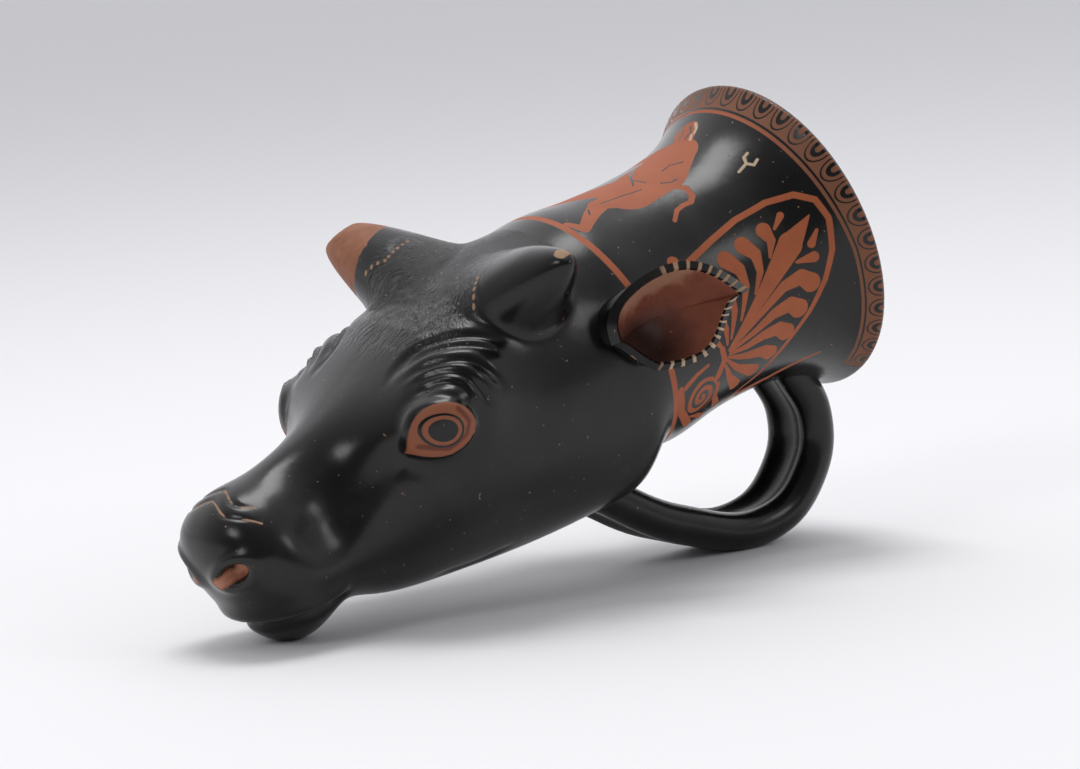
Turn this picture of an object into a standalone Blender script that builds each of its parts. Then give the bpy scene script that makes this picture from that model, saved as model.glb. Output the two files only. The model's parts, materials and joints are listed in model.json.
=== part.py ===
"""A bull's-head rhyton: a moulded animal head that serves as a drinking cup, one hollow piece of fired clay.

The vessel is drawn level, with its muzzle at the low X end, its crown up (+Z) and its mouth at the high X end.
It is then tipped and set down as it lies on a table: on its lower lip and on the loop of its handle.
"""

import math
from collections import namedtuple

import bmesh
import bpy
import numpy as np
from mathutils import Matrix, Vector

# The whole vessel, in metres.
HEAD_LENGTH = 0.127  # muzzle to the painted ring where the cup begins
CUP_LENGTH = 0.070  # painted ring to the rim
RING_RADIUS = 0.0360  # outside, at the painted ring
WAIST_RADIUS = 0.0335  # outside, at the narrowest place of the cup
WAIST_FROM_RIM = 0.040
RIM_RADIUS = 0.0440
RIM_FLARE = 3.0  # how late the cup opens towards its rim
CUP_WALL = 0.0042
HEAD_WALL = 0.0065
MUZZLE_WALL = 0.024  # solid clay between the muzzle's front and the hollow

# The strap handle: a loop under the cup, with a rounded roll along each edge.
STRAP_WIDTH = 0.0225
STRAP_EDGE = 0.0106  # thickness of the rolls
STRAP_WEB = 0.0062  # thickness of the strap between the rolls
STRAP_ROOT_FROM_RIM = 0.0130
STRAP_THROAT_FROM_RIM = 0.0880
STRAP_DROP = 0.0318  # the strap's middle, below the underside of the cup

# The ears: leaf-shaped bowls that open sideways.
EAR_LENGTH = 0.0338
EAR_WIDTH = 0.0234
EAR_DEPTH = 0.0100
EAR_WALL = 0.0036

# The flat spots worn where the vessel stands.
WORN_DEPTH = 0.0005

# How finely the form is drawn, and how many facets the finished solid keeps.
AROUND = 128
ALONG = 190
OUTER_SHARE = 0.62  # of the rings, those on the outside
LIP_RINGS = 7
FACETS = 8600

# The head's form is drawn in units, 127 of them from the muzzle to the ring.
HEAD_UNITS = 127.0
UNIT = HEAD_LENGTH / HEAD_UNITS

# The head's cross-sections, from the muzzle to the ring: the place, the half width, the heights of the top, the
# bottom and the widest line, the squareness, and how far the section narrows towards its top and its bottom.
Section = namedtuple("Section", "place half_width top bottom widest squareness narrow_top narrow_bottom")
SECTIONS = (
    Section(0.0, 0.0, 8.0, 8.0, 8.0, 2.2, 0.00, 0.00),  # front of the muzzle
    Section(1.2, 8.5, 14.6, 0.5, 8.0, 2.2, 0.00, 0.00),
    Section(4.2, 14.5, 18.8, -8.5, 6.5, 2.3, 0.05, 0.20),
    Section(8.5, 18.5, 21.2, -16.5, 4.0, 2.3, 0.10, 0.42),  # nostrils
    Section(15.0, 21.0, 22.4, -21.4, 1.0, 2.3, 0.20, 0.46),  # lower lip
    Section(21.5, 20.8, 22.2, -21.4, -1.0, 2.3, 0.28, 0.36),
    Section(28.5, 19.5, 22.6, -18.6, -3.0, 2.3, 0.32, 0.22),  # behind the mouth
    Section(39.0, 21.0, 24.2, -21.8, -2.0, 2.3, 0.30, 0.22),
    Section(51.0, 28.5, 27.5, -26.2, 4.0, 2.3, 0.20, 0.30),  # eyes
    Section(65.0, 33.5, 33.0, -29.6, 8.0, 2.3, 0.14, 0.32),  # brows
    Section(81.0, 33.5, 38.6, -33.0, 8.0, 2.3, 0.10, 0.26),
    Section(99.0, 34.0, 41.6, -35.8, 6.0, 2.2, 0.06, 0.14),  # crown, between the horns
    Section(114.0, 35.2, 41.0, -37.4, 4.5, 2.1, 0.02, 0.06),  # throat
    Section(121.5, 36.0, 40.4, -36.4, 4.5, 2.0, 0.00, 0.02),
)
RING_RISE = 4.2  # the ring's centre stands this much above the cup's axis
CUP_NOD = 4.0  # degrees, the cup turned down from the line of the head
NOD_LENGTH = 16.0  # over which the turn is spread

# Everything else on the head: its place (from the muzzle, out to the side, up) and its size, in the same units.
BROW_PLACE = (66.0, 29.0, 26.0)
BROW_REACH = (20.0, 14.0, 14.0)
BROW_OUTWARD = (-0.12, 0.94, 0.32)
BROW_RISE = 9.0
EYE_PLACE = (58.2, 36.0, 18.4)  # middle of the eyeball
EYE_CORNERS = (59.0, 36.0, 14.7)  # middle of the line between the eye's two corners
EYE_HALF_LENGTH = 8.2
EYE_ABOVE = 10.3  # the upper lid's height over that line
EYE_BELOW = 3.2
EYE_TURN = 3.5  # degrees, the front corner up
EYE_BALL_REACH = 9.5
EYE_DEPTH_REACH = (12.0, 6.0)  # how far in from the eyeball its carving reaches, and how softly it ends
EYE_RISE = 2.2
LID_RISE = 0.9
LID_WIDTH = 0.14  # of the eye's size
SOCKET_DEPTH = 1.0
# The folds of skin that arch over the eye, as lines from front to back.
FOLD_LINES = (
    ((56.8, 17.7, 28.6), (61.6, 16.9, 31.0), (69.5, 17.6, 33.3), (75.5, 22.0, 33.8), (82.0, 27.8, 32.6), (87.1, 33.3, 26.8)),
    ((60.0, 18.6, 30.3), (69.2, 20.8, 33.3), (75.4, 26.3, 32.4), (81.0, 30.8, 30.0), (84.0, 34.5, 24.5)),
    ((58.5, 21.5, 29.0), (65.6, 24.5, 31.0), (70.8, 29.5, 31.2), (75.2, 33.2, 29.0), (77.8, 35.6, 23.8), (79.9, 36.0, 17.3)),
    ((57.5, 24.2, 27.8), (63.7, 27.6, 30.2), (67.7, 31.6, 29.8), (70.4, 35.0, 27.6), (72.2, 36.8, 22.5), (73.9, 36.4, 14.5)),
    ((57.5, 26.8, 26.6), (62.3, 29.8, 28.6), (66.0, 33.8, 28.0), (68.4, 36.2, 25.2), (69.4, 36.8, 21.0)),
)
FOLD_DEPTH = 1.3
FOLD_WIDTH = 1.2
GROOVE_STEPS = 17  # stretches and points of a groove's line
GROOVE_FADE = 0.3  # of its length, over which a groove's ends fade
GROOVE_GRIP = 0.9  # how little a line's height over the surface counts
BRIDGE_VALLEY = ((23.0, 18.0, 5.5), (47.0, 23.5, 13.0))  # from the muzzle's side to the eye's front corner
VALLEY_DEPTH = 2.0
VALLEY_REACH = 6.0
HORN_ROOT = (100.0, 24.0, 36.0)
HORN_TIP = (103.0, 50.0, 45.0)
HORN_REACH = 13.5
HORN_FULLNESS = 1.5  # how much the horn swells before it rounds over to its tip
HORN_BLUNTNESS = 0.1  # of its reach, the width of its tip
HORN_ROOT_SOFTNESS = 0.2  # of its height, how softly it leaves the crown
HORN_DEPTH_REACH = (16.0, 8.0)  # how far in from the root the horn's carving reaches, and how softly it ends
HORN_SIDE_REACH = (2.0, 0.7)  # the same to the side, in reaches
BROKEN_HORN_TIP = (99.0, 50.5, 48.0)
BROKEN_BLUNTNESS = 0.36
NOSTRIL_PLACE = (3.4, 10.6, 6.4)
NOSTRIL_ALONG = (0.5, 0.8, 0.28)
NOSTRIL_HALF_LENGTH = 4.6
NOSTRIL_HALF_HEIGHT = 2.5
NOSTRIL_DEPTH = 2.8
NOSTRIL_RIM = 0.9
MOUTH_FRONT_HEIGHT = -11.3
MOUTH_CORNER = (26.0, -13.2)
MOUTH_DEPTH = 2.6
MOUTH_WIDTH = 1.5
UPPER_LIP_RISE = 1.0
CHEEK_PLACE = (88.0, 33.0, -4.0)
CHEEK_REACH = (22.0, 14.0, 17.0)
CHEEK_RISE = 1.5

# The ears' places, and the way they point and open, also for the near side (out to the side is positive).
EAR_MIDDLE = (129.5, 45.0, 12.5)
EAR_ALONG = (0.92, 0.38, -0.05)
EAR_OPENING = (-0.36, 0.92, 0.10)
EAR_ROOT_SPREAD = 9.0  # how far the ear's back spreads onto the head
EAR_BEND = 0.05  # of its length, how far the ear's ends bend outward
EAR_CUT = 0.17  # of its wall, how deep the space in its bowl is cut into it
EAR_LID = 1.1  # of the bowl's size, that of the space at its lid
EAR_STEPS = 48
EAR_LEVELS = 15

# The loop's shape between the cup and the throat: shares of the way between them and of the strap's drop.
LOOP_SHAPE = ((-0.03, 0.42), (0.085, 0.83), (0.33, 1.00), (0.70, 0.54))


def new_collection(name):
    """A collection in the scene."""
    collection = bpy.data.collections.new(name)
    bpy.context.scene.collection.children.link(collection)
    return collection


def clay(name, colour, roughness):
    """A fired clay surface."""
    material = bpy.data.materials.new(name)
    material.use_nodes = True
    shader = material.node_tree.nodes["Principled BSDF"]
    shader.inputs["Base Color"].default_value = (*colour, 1.0)
    shader.inputs["Roughness"].default_value = roughness
    shader.inputs["Metallic"].default_value = 0.0
    material.diffuse_color = (*colour, 1.0)
    return material


def smooth_step(value):
    """0 below 0, 1 above 1, and a smooth rise between."""
    value = np.clip(value, 0.0, 1.0)
    return value * value * (3.0 - 2.0 * value)


def bell(distance):
    """1 at 0, and a smooth fall to almost nothing at 2."""
    return np.exp(-distance * distance)


def smooth_curve(knots, values, places):
    """A curve without a kink (a natural cubic spline) through the values at the knots, read at the places."""
    knots = np.asarray(knots, dtype=float)
    values = np.asarray(values, dtype=float)
    gaps = np.diff(knots)
    slopes = np.diff(values, axis=0) / gaps[:, None]
    bends = np.zeros_like(values)
    system = np.diag(2.0 * (gaps[:-1] + gaps[1:])) + np.diag(gaps[1:-1], 1) + np.diag(gaps[1:-1], -1)
    bends[1:-1] = np.linalg.solve(system, 6.0 * np.diff(slopes, axis=0))
    index = np.clip(np.searchsorted(knots, places) - 1, 0, len(gaps) - 1)
    gap = gaps[index][:, None]
    after = (places - knots[index])[:, None]
    before = gap - after
    start = values[index] / gap - bends[index] * gap / 6.0
    end = values[index + 1] / gap - bends[index + 1] * gap / 6.0
    curved = (bends[index] * before**3 + bends[index + 1] * after**3) / (6.0 * gap)
    return curved + start * before + end * after


def cup_radius(place):
    """The cup's outer radius at a place along the vessel, in metres."""
    waist = HEAD_LENGTH + CUP_LENGTH - WAIST_FROM_RIM
    if place < waist:
        return WAIST_RADIUS + (RING_RADIUS - WAIST_RADIUS) * ((waist - place) / (waist - HEAD_LENGTH)) ** 1.5
    return WAIST_RADIUS + (RIM_RADIUS - WAIST_RADIUS) * ((place - waist) / WAIST_FROM_RIM) ** RIM_FLARE


def cup_sections():
    """The cup's cross-sections, all round, from the ring to the rim, in metres."""
    sections = []
    for share in (0.0, 0.15, 0.35, 0.55, 0.7, 0.8, 0.88, 0.94, 1.0):
        place = HEAD_LENGTH + share * CUP_LENGTH
        centre = RING_RISE * UNIT
        radius = cup_radius(place)
        sections.append((place, radius, centre + radius, centre - radius, centre, 2.0, 0.0, 0.0))
    return sections


def section_knots():
    """All cross-sections in metres, with the length of the profile at which each one stands."""
    sizes_in_metres = np.array([UNIT] * 5 + [1.0] * 3)
    rows = np.array([np.array(section) * sizes_in_metres for section in SECTIONS] + cup_sections())
    steps = np.hypot(np.diff(rows[:, 0]), np.diff(rows[:, 1]))
    knots = np.concatenate([[0.0], np.cumsum(steps)])
    # The muzzle is round, so the sections go on past its front as their own mirror images.
    mirrored = rows[3:0:-1].copy()
    mirrored[:, 1] *= -1.0
    mirrored[:, 2:4] = 2.0 * mirrored[:, 4:5] - mirrored[:, 2:4]
    return np.concatenate([-knots[3:0:-1], knots]), np.concatenate([mirrored, rows])


KNOTS, KNOT_SECTIONS = section_knots()


def sections_along(lengths):
    """Cross-sections read at lengths along the profile."""
    return smooth_curve(KNOTS, KNOT_SECTIONS, np.asarray(lengths, dtype=float))


def sections_at(places):
    """Cross-sections read at places along the vessel."""
    lengths = np.linspace(0.0, KNOTS[-1], 2000)
    return sections_along(np.interp(places, sections_along(lengths)[:, 0], lengths))


def ring_of(sections, around, inset, scale=1.0):
    """Points round each section, set in by the inset and drawn in by the scale."""
    _, half_width, top, bottom, widest, squareness, narrow_top, narrow_bottom = sections.T[:, :, None]
    sine = np.sin(around)[None, :]
    cosine = np.cos(around)[None, :]
    sideways = np.maximum((half_width - inset) * scale, 1e-9)
    upright = np.maximum((np.where(cosine > 0.0, top - widest, widest - bottom) - inset) * scale, 1e-9)
    radius = (np.abs(sine) / sideways) ** squareness + (np.abs(cosine) / upright) ** squareness
    radius = radius ** (-1.0 / squareness)
    height = radius * cosine
    lift = height / upright
    narrow = 1.0 - narrow_top * np.maximum(lift, 0.0) ** 2 - narrow_bottom * np.maximum(-lift, 0.0) ** 2
    return radius * sine * narrow, widest + height


def nod(points):
    """Turn the cup's points down from the line of the head, about the middle of the ring."""
    pivot = np.array([HEAD_LENGTH, 0.0, RING_RISE * UNIT])
    offset = points - pivot
    turn = math.radians(CUP_NOD) * smooth_step(0.5 + offset[..., 0] / (NOD_LENGTH * UNIT))
    turned = points.copy()
    turned[..., 0] = pivot[0] + offset[..., 0] * np.cos(turn) + offset[..., 2] * np.sin(turn)
    turned[..., 2] = pivot[2] - offset[..., 0] * np.sin(turn) + offset[..., 2] * np.cos(turn)
    return turned


def surface_normals(points):
    """Outward directions on a grid of points (rings along, points around)."""
    along = np.gradient(points, axis=0)
    around = np.roll(points, -1, axis=1) - np.roll(points, 1, axis=1)
    normals = np.cross(along, around)
    normals[0] = normals[1].mean(axis=0)
    lengths = np.linalg.norm(normals, axis=2, keepdims=True)
    return normals / np.maximum(lengths, 1e-12)


def reach_from(points, place, reach):
    """Distance from a place, where 1 is the reach along each axis."""
    return np.sqrt((((points - np.array(place)) / np.array(reach)) ** 2).sum(axis=2))


def unit_vector(vector):
    """The vector at length 1."""
    vector = np.array(vector, dtype=float)
    return vector / np.linalg.norm(vector)


def brow(points):
    """The swelling over the eye."""
    rise = BROW_RISE * bell(reach_from(points, BROW_PLACE, BROW_REACH))
    return points + rise[:, :, None] * unit_vector(BROW_OUTWARD)


def cheek(points, normals):
    """The jaw muscle behind the mouth."""
    return points + (CHEEK_RISE * bell(reach_from(points, CHEEK_PLACE, CHEEK_REACH)))[:, :, None] * normals


def bridge_valley(points, normals):
    """The hollow along each side of the nose, from the muzzle to the eye."""
    start, end = (np.array(place) for place in BRIDGE_VALLEY)
    share = np.clip(((points - start) @ (end - start)) / ((end - start) @ (end - start)), 0.0, 1.0)
    nearest = start + share[:, :, None] * (end - start)
    distance = np.linalg.norm(points - nearest, axis=2) / VALLEY_REACH
    return points - (VALLEY_DEPTH * bell(distance))[:, :, None] * normals


def eye_opening(points):
    """The eye's almond shape: 0 at the middle of its line of corners and 1 along the lids. Also the place along it."""
    turn = math.radians(EYE_TURN)
    offset = points - np.array(EYE_CORNERS)
    along = (offset @ np.array((math.cos(turn), 0.0, -math.sin(turn)))) / EYE_HALF_LENGTH
    height = offset @ np.array((math.sin(turn), 0.0, math.cos(turn)))
    return along**2 + np.where(height > 0.0, (height / EYE_ABOVE) ** 2, -height / EYE_BELOW), along


def eye(points, normals):
    """The eyeball in its socket, between lids that meet in two corners."""
    opening, along = eye_opening(points)
    offset = points - np.array(EYE_PLACE)
    reach, fade = EYE_DEPTH_REACH
    near = smooth_step((reach - np.abs(offset[:, :, 1])) / fade)
    size = np.hypot(offset[:, :, 0], offset[:, :, 2]) / EYE_BALL_REACH
    socket = -SOCKET_DEPTH * bell((size - 1.1) / 0.35)
    ball = EYE_RISE * np.sqrt(np.clip(1.0 - size**2, 0.0, 1.0)) * smooth_step((1.08 - opening) / 0.2)
    lids = LID_RISE * bell((opening - 1.08) / LID_WIDTH) * smooth_step((1.4 - np.abs(along)) / 0.4)
    rise = (socket + ball + lids) * near
    return points + rise[:, :, None] * normals


def groove(points, normals, line, depth, width):
    """A smooth line pressed into the surface, which fades at both ends."""
    line = np.array(line)
    knots = np.concatenate([[0.0], np.cumsum(np.linalg.norm(np.diff(line, axis=0), axis=1))])
    shares = np.linspace(0.0, 1.0, GROOVE_STEPS)
    smooth = smooth_curve(knots, line, shares * knots[-1])
    nearest = np.full(points.shape[:2], np.inf)
    share = np.zeros(points.shape[:2])
    for index, start in enumerate(smooth[:-1]):
        along = smooth[index + 1] - start
        part = np.clip(((points - start) @ along) / (along @ along), 0.0, 1.0)
        offset = points - start - part[:, :, None] * along
        height = (offset * normals).sum(axis=2)
        distance = np.sqrt(np.maximum((offset**2).sum(axis=2) - GROOVE_GRIP * height**2, 0.0))
        closer = distance < nearest
        nearest = np.where(closer, distance, nearest)
        share = np.where(closer, shares[index] + part * shares[1], share)
    fade = smooth_step(share / GROOVE_FADE) * smooth_step((1.0 - share) / GROOVE_FADE)
    return points - (depth * fade * bell(nearest / width))[:, :, None] * normals


def brow_folds(points, normals):
    """Folds of skin that arch over the eye."""
    for line in FOLD_LINES:
        points = groove(points, normals, line, FOLD_DEPTH, FOLD_WIDTH)
    return points


def horn(points, tip, bluntness):
    """A horn drawn out of the crown, round or blunt at its end."""
    root = np.array(HORN_ROOT)
    axis = np.array(tip) - root
    length = np.linalg.norm(axis)
    axis = axis / length
    offset = points - root
    height = offset @ axis
    distance = np.linalg.norm(offset - height[:, :, None] * axis, axis=2) / HORN_REACH
    distance = np.maximum(distance - bluntness, 0.0) / (1.0 - bluntness)
    swell = 1.0 - distance**HORN_FULLNESS
    swell = 0.5 * (swell + np.hypot(swell, HORN_ROOT_SOFTNESS))
    depth_reach, depth_fade = HORN_DEPTH_REACH
    side_reach, side_fade = HORN_SIDE_REACH
    facing = smooth_step((height + depth_reach) / depth_fade) * smooth_step((side_reach - distance) / side_fade)
    return points + (length * swell * facing)[:, :, None] * axis


def nostril(points, normals):
    """A slanting oval pit with a raised rim."""
    middle = np.array(NOSTRIL_PLACE)
    long_way = unit_vector(NOSTRIL_ALONG)
    outward = unit_vector(normals[np.unravel_index(reach_from(points, middle, (1, 1, 1)).argmin(), points.shape[:2])])
    short_way = np.cross(outward, long_way)
    offset = points - middle
    along = (offset @ long_way) / NOSTRIL_HALF_LENGTH
    across = (offset @ short_way) / NOSTRIL_HALF_HEIGHT
    size = np.sqrt(along**2 + across**2)
    pit = -NOSTRIL_DEPTH * smooth_step((1.15 - size) / 0.6)
    rim = NOSTRIL_RIM * bell((size - 1.5) / 0.55)
    return points + (pit + rim)[:, :, None] * normals


def mouth(points, normals):
    """The line between the lips, from one corner round the front to the other."""
    corner, corner_height = MOUTH_CORNER
    share = points[:, :, 0] / corner
    line = MOUTH_FRONT_HEIGHT + (corner_height - MOUTH_FRONT_HEIGHT) * share
    fade = smooth_step((1.12 - share) / 0.22)
    height = points[:, :, 2] - line
    groove = -MOUTH_DEPTH * bell(height / MOUTH_WIDTH)
    lip = UPPER_LIP_RISE * bell((height - 3.2) / 2.2)
    return points + ((groove + lip) * fade)[:, :, None] * normals


def carve_head(points):
    """The head's carving, on both sides, on a grid of points in metres."""
    side = np.where(points[:, :, 1:2] < 0.0, -1.0, 1.0)
    mirror = np.concatenate([np.ones_like(side), side, np.ones_like(side)], axis=2)
    form = points / UNIT * mirror
    for carve in (cheek, bridge_valley):
        form = carve(form, surface_normals(form * mirror) * mirror)
    form = brow(form)
    for carve in (eye, brow_folds, mouth, nostril):
        form = carve(form, surface_normals(form * mirror) * mirror)
    whole = horn(form, HORN_TIP, HORN_BLUNTNESS)
    broken = horn(form, BROKEN_HORN_TIP, BROKEN_BLUNTNESS)
    return np.where(side < 0.0, whole, broken) * mirror * UNIT


def outer_surface(rings, around):
    """The outside, from the front of the muzzle to the start of the lip."""
    length = KNOTS[-1]
    sections = sections_along(np.linspace(0.0, length, rings))
    last = HEAD_LENGTH + CUP_LENGTH - CUP_WALL / 2.0
    sections[:, 0] *= last / sections[-1, 0]
    y, z = ring_of(sections, around, 0.0)
    x = np.repeat(sections[:, :1], len(around), axis=1)
    return nod(carve_head(np.stack([x, y, z], axis=2)))


def lip_surface(rings, around):
    """The rounded edge of the mouth, from outside to inside."""
    turn = np.linspace(0.0, math.pi, rings + 2)[1:-1, None]
    sections = np.repeat(sections_along([KNOTS[-1]]), rings, axis=0)
    y, z = ring_of(sections, around, CUP_WALL / 2.0 * (1.0 - np.cos(turn)))
    x = HEAD_LENGTH + CUP_LENGTH - CUP_WALL / 2.0 * (1.0 - np.sin(turn))
    return nod(np.stack([np.repeat(x, len(around), axis=1), y, z], axis=2))


def inner_surface(rings, around, grown=0.0):
    """The hollow, from the lip to its rounded end in the muzzle, grown into the wall if asked."""
    mouth_end = HEAD_LENGTH + CUP_LENGTH - CUP_WALL / 2.0
    dome = 16.0 * UNIT
    dome_rings = rings // 5
    straight = np.linspace(mouth_end, MUZZLE_WALL + dome, rings - dome_rings, endpoint=False)
    turn = np.linspace(0.0, math.pi / 2.0, dome_rings)
    places = np.concatenate([straight, MUZZLE_WALL + dome * (1.0 - np.sin(turn))])
    scale = np.concatenate([np.ones(len(straight)), np.cos(turn)])
    wall = CUP_WALL + (HEAD_WALL - CUP_WALL) * smooth_step((HEAD_LENGTH + 0.01 - places) / 0.03)
    y, z = ring_of(sections_at(places), around, wall[:, None] - grown, scale[:, None])
    x = np.repeat(places[:, None], len(around), axis=1)
    return nod(np.stack([x, y, z], axis=2))


def ball_in_shape(name, collection, shape):
    """A closed surface: a ball whose rings of points are moved to those of the shape, from pole to pole."""
    rings, around = shape.shape[:2]
    form = bmesh.new()
    bmesh.ops.create_uvsphere(form, u_segments=around, v_segments=rings - 1, radius=1.0)
    for vertex in form.verts:
        ring = round((math.asin(max(-1.0, min(1.0, vertex.co.z))) / math.pi + 0.5) * (rings - 1))
        step = round(math.atan2(vertex.co.y, vertex.co.x) / (2.0 * math.pi) * around) % around
        vertex.co = Vector(shape[ring, step])
    bmesh.ops.recalc_face_normals(form, faces=form.faces)
    if form.calc_volume(signed=True) < 0.0:
        bmesh.ops.reverse_faces(form, faces=form.faces)
    mesh = bpy.data.meshes.new(name)
    form.to_mesh(mesh)
    form.free()
    mesh.shade_smooth()
    thing = bpy.data.objects.new(name, mesh)
    collection.objects.link(thing)
    return thing


def vessel_shape():
    """The whole vessel's points: outside, lip and inside."""
    around = np.arange(AROUND) / AROUND * 2.0 * math.pi
    outer_rings = int(OUTER_SHARE * ALONG)
    outer = outer_surface(outer_rings, around)
    lip = lip_surface(LIP_RINGS, around)
    inner = inner_surface(ALONG - outer_rings - LIP_RINGS, around)
    return np.concatenate([outer, lip, inner])


def core_shape():
    """The hollow's points, grown to the middle of the wall and past the mouth, with a blunt end there."""
    around = np.arange(48) / 48 * 2.0 * math.pi
    inner = inner_surface(60, around, CUP_WALL / 2.0)
    cap = inner[:1].copy()
    cap[:, :, 0] += 0.01
    pole = np.repeat(cap.mean(axis=1, keepdims=True), len(around), axis=1)
    return np.concatenate([pole, cap, inner])


def ear_outline(around):
    """The leaf's edge, along and across, for half sizes of 1: pointed at the tip, and cut away below it."""
    along = np.cos(around)
    sine = np.sin(around)
    tip = np.maximum(along, 0.0)
    root = np.maximum(-along, 0.0)
    above = 1.0 + 0.85 * tip - 0.3 * root
    below = 1.0 + 5.0 * tip + 4.0 * np.maximum(root - 0.55, 0.0)
    across = np.sign(sine) * np.abs(sine) ** np.where(sine > 0.0, below, above)
    return along, across * np.where(sine > 0.0, 0.95, 1.04)


def ear_inside(deeper=0.0):
    """The bowl of an ear, from its middle to its edge, laid flat."""
    around = np.arange(EAR_STEPS) / EAR_STEPS * 2.0 * math.pi
    reach = np.sin(np.linspace(0.0, math.pi / 2.0, EAR_LEVELS))[:, None]
    outline_along, outline_across = ear_outline(around)
    along = reach * outline_along
    across = reach * outline_across
    root = 0.5 - 0.5 * along
    depth = EAR_DEPTH * (0.55 + 0.75 * root) * (1.0 - reach**2.2) + deeper
    height = EAR_BEND * EAR_LENGTH * along**2 - depth
    return np.stack([along * EAR_LENGTH / 2.0, across * EAR_WIDTH / 2.0, height], axis=2), root, reach


def on_the_head(local, side):
    """Points laid flat for an ear, moved to their place on the head."""
    direction = unit_vector(EAR_ALONG)
    opening = unit_vector(np.array(EAR_OPENING) - np.dot(EAR_OPENING, direction) * direction)
    width_way = np.cross(opening, direction)
    points = local @ np.stack([direction, width_way, opening]) + np.array(EAR_MIDDLE) * UNIT
    return points * np.array([1.0, side, 1.0])


def ear_shape(side):
    """One ear's points: a leaf-shaped bowl with a rounded edge, its back spread onto the head at its root."""
    inside, root, reach = ear_inside()
    fall = np.sqrt(1.0 - np.minimum(reach, 1.0) ** 2)
    thick = EAR_WALL * (0.6 + 0.4 * fall)
    spread = EAR_ROOT_SPREAD * UNIT * root**2 * np.sqrt(fall)
    wider = 1.0 + 0.35 * EAR_WALL / EAR_WIDTH
    along, across, height = np.moveaxis(inside, 2, 0)
    outside = np.stack([along * wider - spread, across * wider, height - thick - spread], axis=2)
    edge = 0.5 * (inside[-1:] + outside[-1:])
    edge[:, :, :2] *= 1.0 + 0.7 * EAR_WALL / EAR_WIDTH
    return on_the_head(np.concatenate([inside, edge, outside[::-1]]), side)


def ear_hollow(side):
    """The space in an ear's bowl, cut a little into the bowl's wall, up to a lid over its edge."""
    inside, _, _ = ear_inside(EAR_WALL * EAR_CUT)
    lid = inside[-1:] * np.array([EAR_LID, EAR_LID, 1.0]) + np.array([0.0, 0.0, EAR_DEPTH])
    middle = np.repeat(lid.mean(axis=1, keepdims=True), EAR_STEPS, axis=1)
    return on_the_head(np.concatenate([inside, lid, middle]), side)


def underside(place):
    """The vessel's lowest line at a place along it."""
    x, _, z = nod(np.array([place, 0.0, sections_at([place])[0, 3]]))
    return float(x), float(z)


def strap_profile(collection):
    """The strap's cross-section: a web between two rolls."""
    curve = bpy.data.curves.new("strap_profile", "CURVE")
    curve.dimensions = "2D"
    roll = STRAP_EDGE / 2.0
    roll_place = STRAP_WIDTH / 2.0 - roll
    web = STRAP_WEB / 2.0
    half = []
    for step in range(9):
        across = -roll_place + 2.0 * roll_place * step / 8
        half.append((across, web + (roll - web) * (across / roll_place) ** 2))
    for step in range(1, 6):
        turn = math.pi / 2.0 - math.pi * step / 6
        half.append((roll_place + roll * math.cos(turn), roll * math.sin(turn)))
    points = half + [(-across, -up) for across, up in half]
    spline = curve.splines.new("POLY")
    spline.points.add(len(points) - 1)
    for point, (across, up) in zip(spline.points, points):
        point.co = (across, up, 0.0, 1.0)
    spline.use_cyclic_u = True
    profile = bpy.data.objects.new("strap_profile", curve)
    collection.objects.link(profile)
    return profile


def strap_handle(collection):
    """The loop of the handle, from inside the cup's wall to inside the throat's."""
    start, cup_line = underside(HEAD_LENGTH + CUP_LENGTH - STRAP_ROOT_FROM_RIM)
    end, throat_line = underside(HEAD_LENGTH + CUP_LENGTH - STRAP_THROAT_FROM_RIM)
    places = [(start, cup_line + CUP_WALL)]
    for share, drop in LOOP_SHAPE:
        places.append((start + share * (end - start), cup_line - drop * STRAP_DROP))
    places.append((end, throat_line + HEAD_WALL))
    curve = bpy.data.curves.new("strap", "CURVE")
    curve.dimensions = "3D"
    curve.twist_mode = "MINIMUM"
    curve.resolution_u = 8
    curve.bevel_mode = "OBJECT"
    profile = strap_profile(collection)
    curve.bevel_object = profile
    curve.use_fill_caps = True
    spline = curve.splines.new("BEZIER")
    spline.bezier_points.add(len(places) - 1)
    for point, (x, z) in zip(spline.bezier_points, places):
        point.co = (x, 0.0, z)
        point.handle_left_type = "AUTO"
        point.handle_right_type = "AUTO"
    guide = bpy.data.objects.new("strap_guide", curve)
    collection.objects.link(guide)
    bpy.context.view_layer.update()
    mesh = bpy.data.meshes.new_from_object(guide.evaluated_get(bpy.context.evaluated_depsgraph_get()))
    form = bmesh.new()
    form.from_mesh(mesh)
    bmesh.ops.remove_doubles(form, verts=form.verts, dist=0.00001)
    bmesh.ops.recalc_face_normals(form, faces=form.faces)
    form.to_mesh(mesh)
    form.free()
    strap = bpy.data.objects.new("strap", mesh)
    strap.matrix_world = guide.matrix_world
    collection.objects.link(strap)
    bpy.data.objects.remove(guide)
    bpy.data.objects.remove(profile)
    return strap


def as_tool(thing):
    """Mark an object as one that only shapes another."""
    thing.hide_render = True
    thing.display_type = "WIRE"


def add_boolean(thing, name, operation, other):
    """Join to a thing, or cut from it, another one."""
    modifier = thing.modifiers.new(name, "BOOLEAN")
    modifier.operation = operation
    modifier.solver = "EXACT"
    modifier.object = other


def evaluated_points(thing):
    """The thing's points with its modifiers, in its own space."""
    bpy.context.view_layer.update()
    evaluated = thing.evaluated_get(bpy.context.evaluated_depsgraph_get())
    mesh = evaluated.to_mesh()
    points = np.empty(len(mesh.vertices) * 3)
    mesh.vertices.foreach_get("co", points)
    evaluated.to_mesh_clear()
    return points.reshape(-1, 3)


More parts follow.
